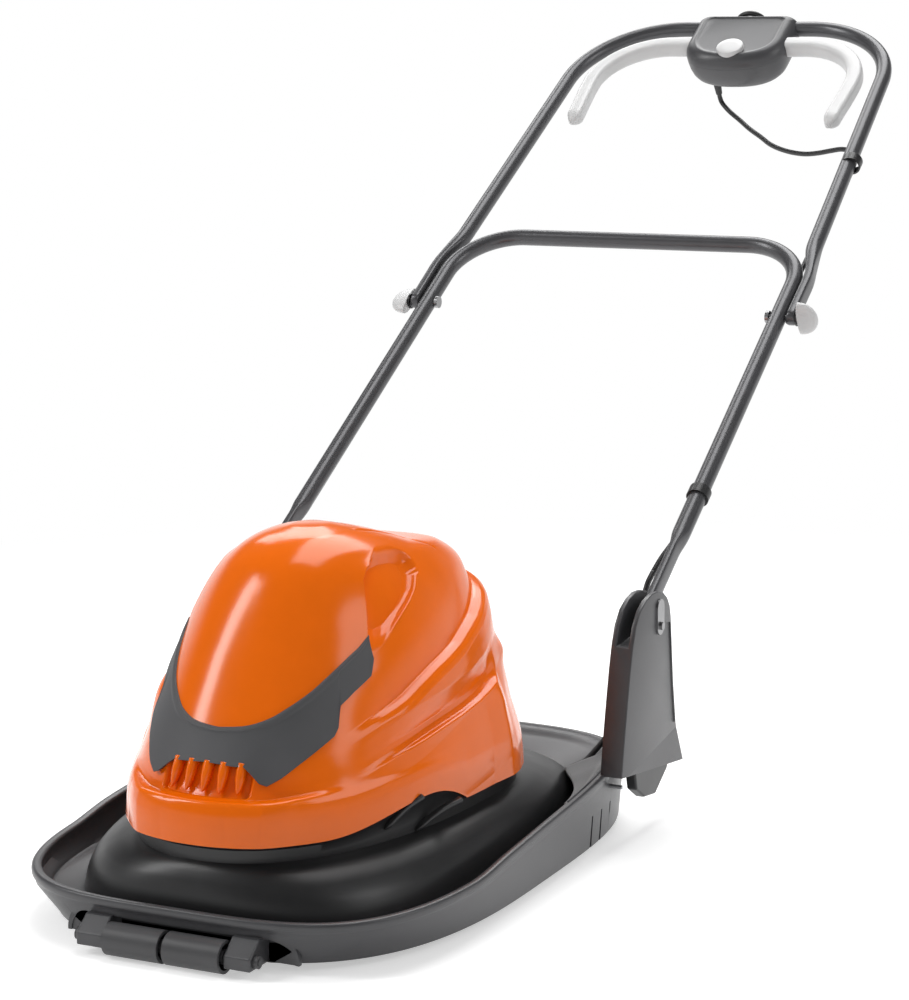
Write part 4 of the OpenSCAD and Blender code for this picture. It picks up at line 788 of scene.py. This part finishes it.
def hood_seat(inset):
    """The ring just under the cover's edge."""
    turn = np.linspace(0, 2, HOOD_COLUMNS, endpoint=False)
    ring = cover_base(np.where(turn > 1, turn - 2, turn), np.zeros(HOOD_COLUMNS), -inset)
    ring[:, 2] = COVER_LOW + arch(ring[:, 1]) - 0.3
    return ring


def hood():
    levels = np.linspace(0, 1, 42) ** 0.8
    outer = [hood_ring(level, 0.0) for level in levels]
    neck, seat = outer[-1], hood_seat(1.5)
    fillet = [neck + (seat - neck) * [[share, share, rise]]
              for share, rise in ((0.05, 0.12), (0.08, 0.3), (0.12, 0.7))]
    plate = [raised(oval(r, r, r, 2, HOOD_COLUMNS), z)
             for r, z in ((PLATE_R, HOOD_TOP), (MOTOR_HOLE_R, HOOD_TOP), (MOTOR_HOLE_R, HOOD_TOP - HOOD_WALL),
                          (PLATE_R, HOOD_TOP - HOOD_WALL))]
    inner = [hood_ring(level, HOOD_WALL) for level in levels[::-1]]
    rows = outer + fillet + [seat, hood_seat(6.0)] + plate + inner
    return crisp(outward(skin("hood_dome", [on_deck(r) for r in rows], loop=True)), 55)


def intake_fin(top, low, side):
    """A slanted bar from the cover's edge to the hood's neck, under the arch of the cover."""
    steps = 24
    line = np.linspace(top, low, steps) * [side, 1, 1]
    line[:, 2] += 3.0 * np.sin(np.linspace(0, math.pi, steps))
    aim = tangents(line)
    across = np.cross(aim, [-side * 0.15, -0.4, 0.9])
    across /= np.linalg.norm(across, axis=1)[:, None]
    thin = np.sqrt(np.clip(np.linspace(1, 0, steps) / 0.12, 0.05, 1))
    lift = np.cross(across, aim)
    return sweep("intake_fin", on_deck(line), across, lift, 3.6 * thin, 2.4 * thin, square=3.4)


hood_parts = [hood()]
for side in (-1, 1):
    hood_parts.append(intake_fin((144, -119, 114), (124, -153, 90), side))
    hood_parts.append(intake_fin((157, -66, 99), (134, -112, 79), side))
dress(joined("hood_shell", hood_parts), "black_plastic", "deck", "hood")

# Handle brackets: forked towers on the rear corners, drawn from the side as (y, z)
BRACKET_IN, BRACKET_OUT, SLOT_IN, SLOT_OUT = 208.0, 231.0, 213.2, 225.8
FOOT_IN, FOOT_OUT = 211.0, 222.0
BRACKET_SIDE = [(143, 74), (146, 95), (150.5, 120), (156.5, 150), (162.5, 178), (168.5, 200), (176, 218),
                (188, 231.5), (203, 239), (219, 242.5), (235, 242), (249, 238.5), (260, 231.5), (267.5, 222),
                (271, 210), (275, 180), (280, 143), (289, 97), (303.5, 56), (302.5, 54)]
SLOT_SIDE = [(120, 197), (182, 198.5), (214, 202), (226, 208), (238, 211), (243.8, 215.6), (300, 251),
             (300, 300), (120, 300)]
FOOT_SIDE = [(200, 66), (206, 46), (228, 33), (258, 29), (290, 48), (296, 60)]


def bracket(side):
    """A hollow-topped tower: rounded crown, slot for the tube, and a lower facet that leans outwards."""
    tower = side_prism("bracket_tower", BRACKET_SIDE, side, BRACKET_IN, BRACKET_OUT)
    tower = carve(tower, [side_prism("bracket_slot", SLOT_SIDE, side, SLOT_IN, SLOT_OUT)])
    tower = crisp(soften(tower, 1.5, 40), 40)
    face = side * (BRACKET_OUT - 0.3)
    facet = np.array([(face, 144, 74.5), (face, 288, 96.5), (face + side * 3.2, 302.5, 55.5),
                      (face + side * 1.4, 222, 64.8)])
    back = np.column_stack([np.full(len(facet), face - side * 2.0), facet[:, 1:]])
    wedge = capped("bracket_facet", [on_deck(facet), on_deck(back)], smooth=False)
    ridge = on_deck([(face, 266.5, 205), (face, 275.5, 143), (face, 284, 99)])
    ridge_line = sweep("bracket_ridge", ridge, ACROSS, np.array([0.0, 0.98, 0.2]), 1.5, 1.2, sides=12)
    return joined(f"bracket_{SIDE_NAME[side]}_tower", [tower, wedge, ridge_line])


for side in (-1, 1):
    dress(bracket(side), "grey_plastic", "deck", f"bracket_{SIDE_NAME[side]}")
    foot = side_prism(f"bracket_{SIDE_NAME[side]}_foot", FOOT_SIDE, side, FOOT_IN, FOOT_OUT)
    dress(soften(foot, 2.0), "black_plastic", "deck")

# Handle tubes
TUBE_R = 9.5
LOWER = {"top": 602.0, "top_half": 214.0, "bend": 75.0}
LOWER_FOOT_HALF, LOWER_START, LOWER_FLAT, LOWER_ROUND = 219.5, -7.5, 84.0, 520.0
UPPER = {"top": TOP_ALONG, "top_half": 204.0, "bend": 125.0}
UPPER_FOOT_HALF, UPPER_START, UPPER_FLAT, UPPER_ROUND = 231.06, 462.5, 552.0, 930.0
UPPER_CLAMP_HALF, UPPER_TAPER = 224.5, 0.0345


def loop_path(tube, from_along, legs_along, half_at):
    """One half of a bent loop, from its lower end to the middle of its top, in the handle's plane."""
    radius = tube["bend"]
    taper = math.atan((half_at(from_along) - tube["top_half"]) / (tube["top"] - from_along))
    run = radius * math.tan((math.pi / 2 - taper) / 2)
    bend_start = (tube["top_half"] + run * math.sin(taper), tube["top"] - run * math.cos(taper))
    centre = (bend_start[0] - radius * math.cos(taper), bend_start[1] - radius * math.sin(taper))
    leg = [(half_at(a), a) for a in legs_along if a < bend_start[1] - 1]
    bend = arc(centre, radius, math.degrees(taper), 90, 28)
    top = [(x, tube["top"]) for x in np.linspace(tube["top_half"] - run, 0, 8)[1:]]
    return np.array(leg + bend + top)


def handle_tube(name, half_path, half_sections):
    """A whole loop from its right half; each point has its half thickness, half height and squareness."""
    flat = np.vstack([half_path, half_path[-2::-1] * [-1, 1]])
    thick, tall, square = [np.concatenate([half, half[-2::-1]]) for half in half_sections]
    path = on_handle(raised(flat, 0.0))
    side = np.cross(tangents(path), ABOVE)
    rows = []
    for i in range(len(path)):
        c, s = section_turn(36, square[i])
        rows.append(path[i] + MM * (np.outer(c * thick[i], side[i]) + np.outer(s * tall[i], ABOVE)))
    return crisp(capped(name, rows), 45)


def tongue(along, start, flat_end, fade, half_flat):
    """Half thickness, half height and squareness of a tube whose end is pressed flat."""
    share = ease((along - flat_end) / fade)
    past = np.clip((start + TUBE_R - along) / TUBE_R, 0, 1)
    tall = TUBE_R * np.sqrt(np.maximum(1 - past ** 2, 0.08))
    return half_flat + (TUBE_R - half_flat) * share, tall, 2 + 2.2 * (1 - share)


def lower_half_at(along):
    """Half width of the lower loop, which narrows to its top."""
    return LOWER_FOOT_HALF - (LOWER_FOOT_HALF - LOWER["top_half"]) * along / LOWER["top"]


def upper_half_at(along):
    """Half width of the upper loop: pressed legs outside the lower loop, then a slow taper."""
    taper = UPPER_CLAMP_HALF - UPPER_TAPER * (along - CLAMP_ALONG)
    return UPPER_FOOT_HALF + (taper - UPPER_FOOT_HALF) * float(ease((along - 530) / 76.0))


lower_legs = np.concatenate([np.linspace(LOWER_START, 4, 8), np.linspace(12, 84, 10),
                             np.linspace(88, 116, 10), np.linspace(140, 600, 24)])
lower_path = loop_path(LOWER, 0.0, lower_legs, lower_half_at)
lower_sections = tongue(np.minimum(lower_path[:, 1], LOWER_ROUND), LOWER_START, LOWER_FLAT, 28, 4.5)
dress(handle_tube("lower_tube", lower_path, lower_sections), "tube_paint", "lower_frame", "lower_handle")
upper_legs = np.concatenate([np.linspace(UPPER_START, 474, 8), np.linspace(484, 545, 8),
                             np.linspace(550, 612, 16), np.linspace(640, 960, 16)])
upper_path = loop_path(UPPER, 700.0, upper_legs, upper_half_at)
upper_sections = tongue(np.minimum(upper_path[:, 1], UPPER_ROUND), UPPER_START, UPPER_FLAT, 50, 5.25)
dress(handle_tube("upper_tube", upper_path, upper_sections), "tube_paint", "upper_frame", "upper_handle")

# Squeeze levers
LEVER_ALONG, LEVER_ROOT, LEVER_BEND_IN, LEVER_BEND, LEVER_TAIL = 1022.0, 44.0, 88.0, 85.0, 85.0
LEVER_HUB = [(3.1, -7), (10.5, -7), (12, -5.8), (12, 5.8), (10.5, 7), (3.1, 7)]


def lever(side):
    """A grip along the loop's inner side: from its hub along the top tube, then down the leg."""
    root = [(x, LEVER_ALONG) for x in np.linspace(LEVER_ROOT - 8, LEVER_BEND_IN, 8)]
    bend = arc((LEVER_BEND_IN, LEVER_ALONG - LEVER_BEND), LEVER_BEND, 90, 0, 30)
    tail_x, tail_top = LEVER_BEND_IN + LEVER_BEND, LEVER_ALONG - LEVER_BEND
    tail = [(tail_x - 5.0 * float(ease(u)), tail_top - u * (LEVER_TAIL + 8))
            for u in np.linspace(0.06, 1, 18)]
    path = on_handle(raised(np.array(root + bend[1:] + tail) * [side, 1], 0.0))
    share = np.linspace(0, 1, len(path))
    end = np.sqrt(np.clip((1.0 - share) / 0.05, 0.02, 1))
    wide = (11.2 - 1.6 * ease(share)) * end
    thick = (10.6 - 1.2 * ease(share)) * end
    across = np.cross(tangents(path), ABOVE)
    grip = sweep("lever_grip", path, across, ABOVE, wide, thick, sides=40, square=3.6)
    hub = turned("lever_hub", LEVER_HUB, on_handle([side * LEVER_ROOT, LEVER_ALONG, 0.0]), ABOVE)
    return joined(f"{SIDE_NAME[side]}_lever_piece", [grip, hub])


for side in (1, -1):
    dress(lever(side), "pale_plastic", f"{SIDE_NAME[side]}_lever", f"lever_{SIDE_NAME[side]}")

# Switch box: rounded halves round the top tube, drawn as (inset, above the handle's plane)
BOX_HALF, BOX_FRONT, BOX_BACK, BOX_CORNER = 67.0, 968.0, 1075.0, 46.0
BOX_NOSE_SQUARE, BOX_REAR_CORNER = 2.45, 9.0
BASE_LEVELS = [(26, -36), (18, -35.4), (12, -33), (7.5, -29), (4, -23), (1.6, -15), (0.4, -7), (0, -1),
               (0, -0.1)]
LID_LEVELS = [(0, 0.1), (0, 2), (0.7, 6), (2.2, 9.6), (4.6, 12.8), (7.6, 15.2), (10.6, 16.6), (13, 17),
              (14.4, 16.8), (15.6, 15.9), (17, 15.5), (19, 15.3)]
BUTTON_ALONG = 992.0
BUTTON_PROFILE = [(19.8, 8), (19.8, 11), (17.4, 11), (17.4, 19.5), (16.6, 21), (14.5, 21.8), (8, 22.0),
                  (0.4, 22.0)]


def box_ring(inset, above):
    """The box's outline, drawn in by an inset, at a place above the handle's plane."""
    half, back, front = BOX_HALF - inset, BOX_BACK - 0.6 * inset, BOX_FRONT + inset
    middle, rear = BOX_FRONT + BOX_CORNER + 8.0, BOX_REAR_CORNER
    turn = np.linspace(math.pi, 2 * math.pi, 81)
    nose = np.column_stack([half * signed_power(np.cos(turn), 2 / BOX_NOSE_SQUARE),
                            middle + (middle - front) * signed_power(np.sin(turn), 2 / BOX_NOSE_SQUARE)])
    right_rear = arc((half - rear, back - rear), rear, 0, 90, 8)
    left_rear = arc((rear - half, back - rear), rear, 90, 180, 8)
    return on_handle(raised(nose.tolist() + right_rear + left_rear, above))


def box_half(name, levels):
    return crisp(capped(name, [box_ring(inset, above) for inset, above in levels]), 50)


dress(box_half("switch_box_base", BASE_LEVELS), "grey_plastic", "upper_frame", "switch_base")
dress(box_half("switch_box_cover", LID_LEVELS), "grey_plastic", "upper_frame", "switch_cover")
button_cap = turned("button_cap", BUTTON_PROFILE, on_handle([0.0, BUTTON_ALONG, 0.0]), ABOVE, 64)
dress(button_cap, "pale_plastic", "button", "lock_button")

# Return spring below the button
SPRING_R, SPRING_WIRE, SPRING_LOW, SPRING_LONG, SPRING_TURNS, PRESS = 3.45, 1.0, -33.0, 40.4, 9, 4.2
spring_share = np.linspace(0, 1, 24 * SPRING_TURNS + 1)
spring_turn = 2 * math.pi * SPRING_TURNS * spring_share
spring_line = on_handle(np.column_stack([SPRING_R * np.cos(spring_turn),
                                         BUTTON_ALONG + SPRING_R * np.sin(spring_turn),
                                         SPRING_LOW + SPRING_LONG * spring_share]))
spring_side = np.outer(np.cos(spring_turn), ACROSS) + np.outer(np.sin(spring_turn), ALONG)
spring_coil = sweep("button_spring_coil", spring_line, spring_side, ABOVE, SPRING_WIRE / 2, SPRING_WIRE / 2,
                    sides=10)
dress(spring_coil, "bright_steel", "upper_frame", "button_spring")
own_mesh(spring_coil)

# Wing knobs
KNOB_IN, KNOB_LONG, KNOB_HALF, KNOB_SQUARE = 239.2, 22.0, 21.0, 2.3


def wing_knob(side, span, thick_way):
    """A rounded half disc: its flat foot lies against the washer, along the span."""
    place = on_handle([side * KNOB_IN, CLAMP_ALONG, 0.0])
    c, w = section_turn(48, KNOB_SQUARE)
    crown = np.cos(np.linspace(0.42, 0.06, 9))
    rows = []
    for share in np.concatenate([[0.0], np.linspace(0.02, 0.9, 12), crown, [0.9996]]):
        half = KNOB_HALF * math.sqrt(max(1 - share ** 2.3, 0.0004)) * (0.94 if share == 0 else 1.0)
        half_thick = (8.0 - 2.6 * share) * math.sqrt(max(1 - share ** 5, 0.002))
        rise = ACROSS * side * (0.2 + (KNOB_LONG - 0.4) * share)
        rows.append(place + MM * (rise + np.outer(c * half, span) + np.outer(w * half_thick, thick_way)))
    return crisp(capped(f"knob_{SIDE_NAME[side]}_wings", rows), 50)


dress(wing_knob(1, ABOVE, ALONG), "pale_plastic", "right_knob", "knob_right")
dress(wing_knob(-1, ALONG, ABOVE), "pale_plastic", "left_knob", "knob_left")

# Cable hook behind the box
HOOK_HALF, HOOK_RISE, HOOK_R, HOOK_ALONG = 18.0, 14.5, 3.4, BOX_BACK + 4.0
HOOK_FOOT = [(0.3, -4.0), (HOOK_R, -4.0), (HOOK_R, 2.4), (2.4, 3.4), (0.3, 3.5)]
hook_turn = np.linspace(0, math.pi, 40)
hook_line = on_handle(np.column_stack([HOOK_HALF * np.cos(hook_turn), np.full(40, HOOK_ALONG),
                                       HOOK_RISE * np.sin(hook_turn)]))
hook_bow = sweep("hook_bow", hook_line, ALONG, np.cross(tangents(hook_line), ALONG), HOOK_R, HOOK_R, sides=20)
hook_feet = [turned("hook_foot", HOOK_FOOT, on_handle([end * HOOK_HALF, HOOK_ALONG, 0.0]), ALONG, 24)
             for end in (-1, 1)]
dress(joined("cable_hook_bow", [hook_bow] + hook_feet), "black_plastic", "upper_frame", "cable_hook")

# Motor cable
CABLE_D = 6.0
LOOP_ROUTE = [(-30, 1000, -56), (-30, 1000, -62), (-27, 997, -69), (-15, 987, -75), (4, 970, -77),
              (24, 948, -75), (46, 925, -71), (66, 902, -66), (86, 883, -60), (109, 863, -51),
              (132, 847, -42), (152, 838, -34), (170, 833, -27), (186, 828, -21), (200, 819, -17),
              (208, 806, -15), (211, 790, -15), (211, 770, -15)]
UPPER_ROUTE = [(211, 770, -15), (211, 740, -15), (210.5, 700, -15), (210, 660, -15), (209.5, 620, -15),
               (209, 580, -15), (208, 540, -15), (208, 500, -15)]
FOLD_ROUTE = [(208, 500, -15), (208, 486, -15.1), (208, 470, -15.4), (208, 454, -15.1), (208, 440, -15)]
LOWER_ROUTE = [(208, 440, -15), (208, 400, -15), (209, 350, -15), (209.5, 300, -15), (210, 250, -15),
               (210, 205, -15), (210, 180, -15), (210, 158, -15), (209.3, 140, -15.2), (205.5, 115, -16.6),
               (200, 90, -18), (197, 70.5, -20)]
PIVOT_ROUTE = [(197, 308.3, 245.8), (195.9, 297, 237), (195.4, 289.5, 226.5), (195, 286, 214),
               (194.5, 286, 200), (194, 288, 188)]
TAIL_ROUTE = [(194, 288, 188), (193, 290, 166), (190, 288, 144), (185, 281, 122), (178, 269, 101),
              (169, 253, 82), (160, 235, 67), (153.5, 220.5, 58.6), (147.5, 207.5, 53.3)]


def cable_piece(name, route, place, body, node):
    path = place(smooth_path(route, 8))
    return dress(wire(name, path, CABLE_D), "cable_jacket", body, node), path


def cable_bend(name, route, place, node):
    """A stretch across a joint, on no body, with its placing baked into its mesh."""
    piece, line = cable_piece(name, route, place, None, node)
    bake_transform(piece)


loop_piece, loop_line = cable_piece("cable_free_loop", LOOP_ROUTE, on_handle, "upper_frame", "cable_loop")
cable_piece("cable_upper_leg", UPPER_ROUTE, on_handle, "upper_frame", "cable_upper_run")
cable_piece("cable_lower_leg", LOWER_ROUTE, on_handle, "lower_frame", "cable_lower_run")
tail_piece, tail_line = cable_piece("cable_to_cover", TAIL_ROUTE, on_deck, "deck", "cable_tail")
cable_bend("cable_at_fold", FOLD_ROUTE, on_handle, "cable_fold_bend")
cable_bend("cable_at_pivot", PIVOT_ROUTE, on_deck, "cable_pivot_bend")
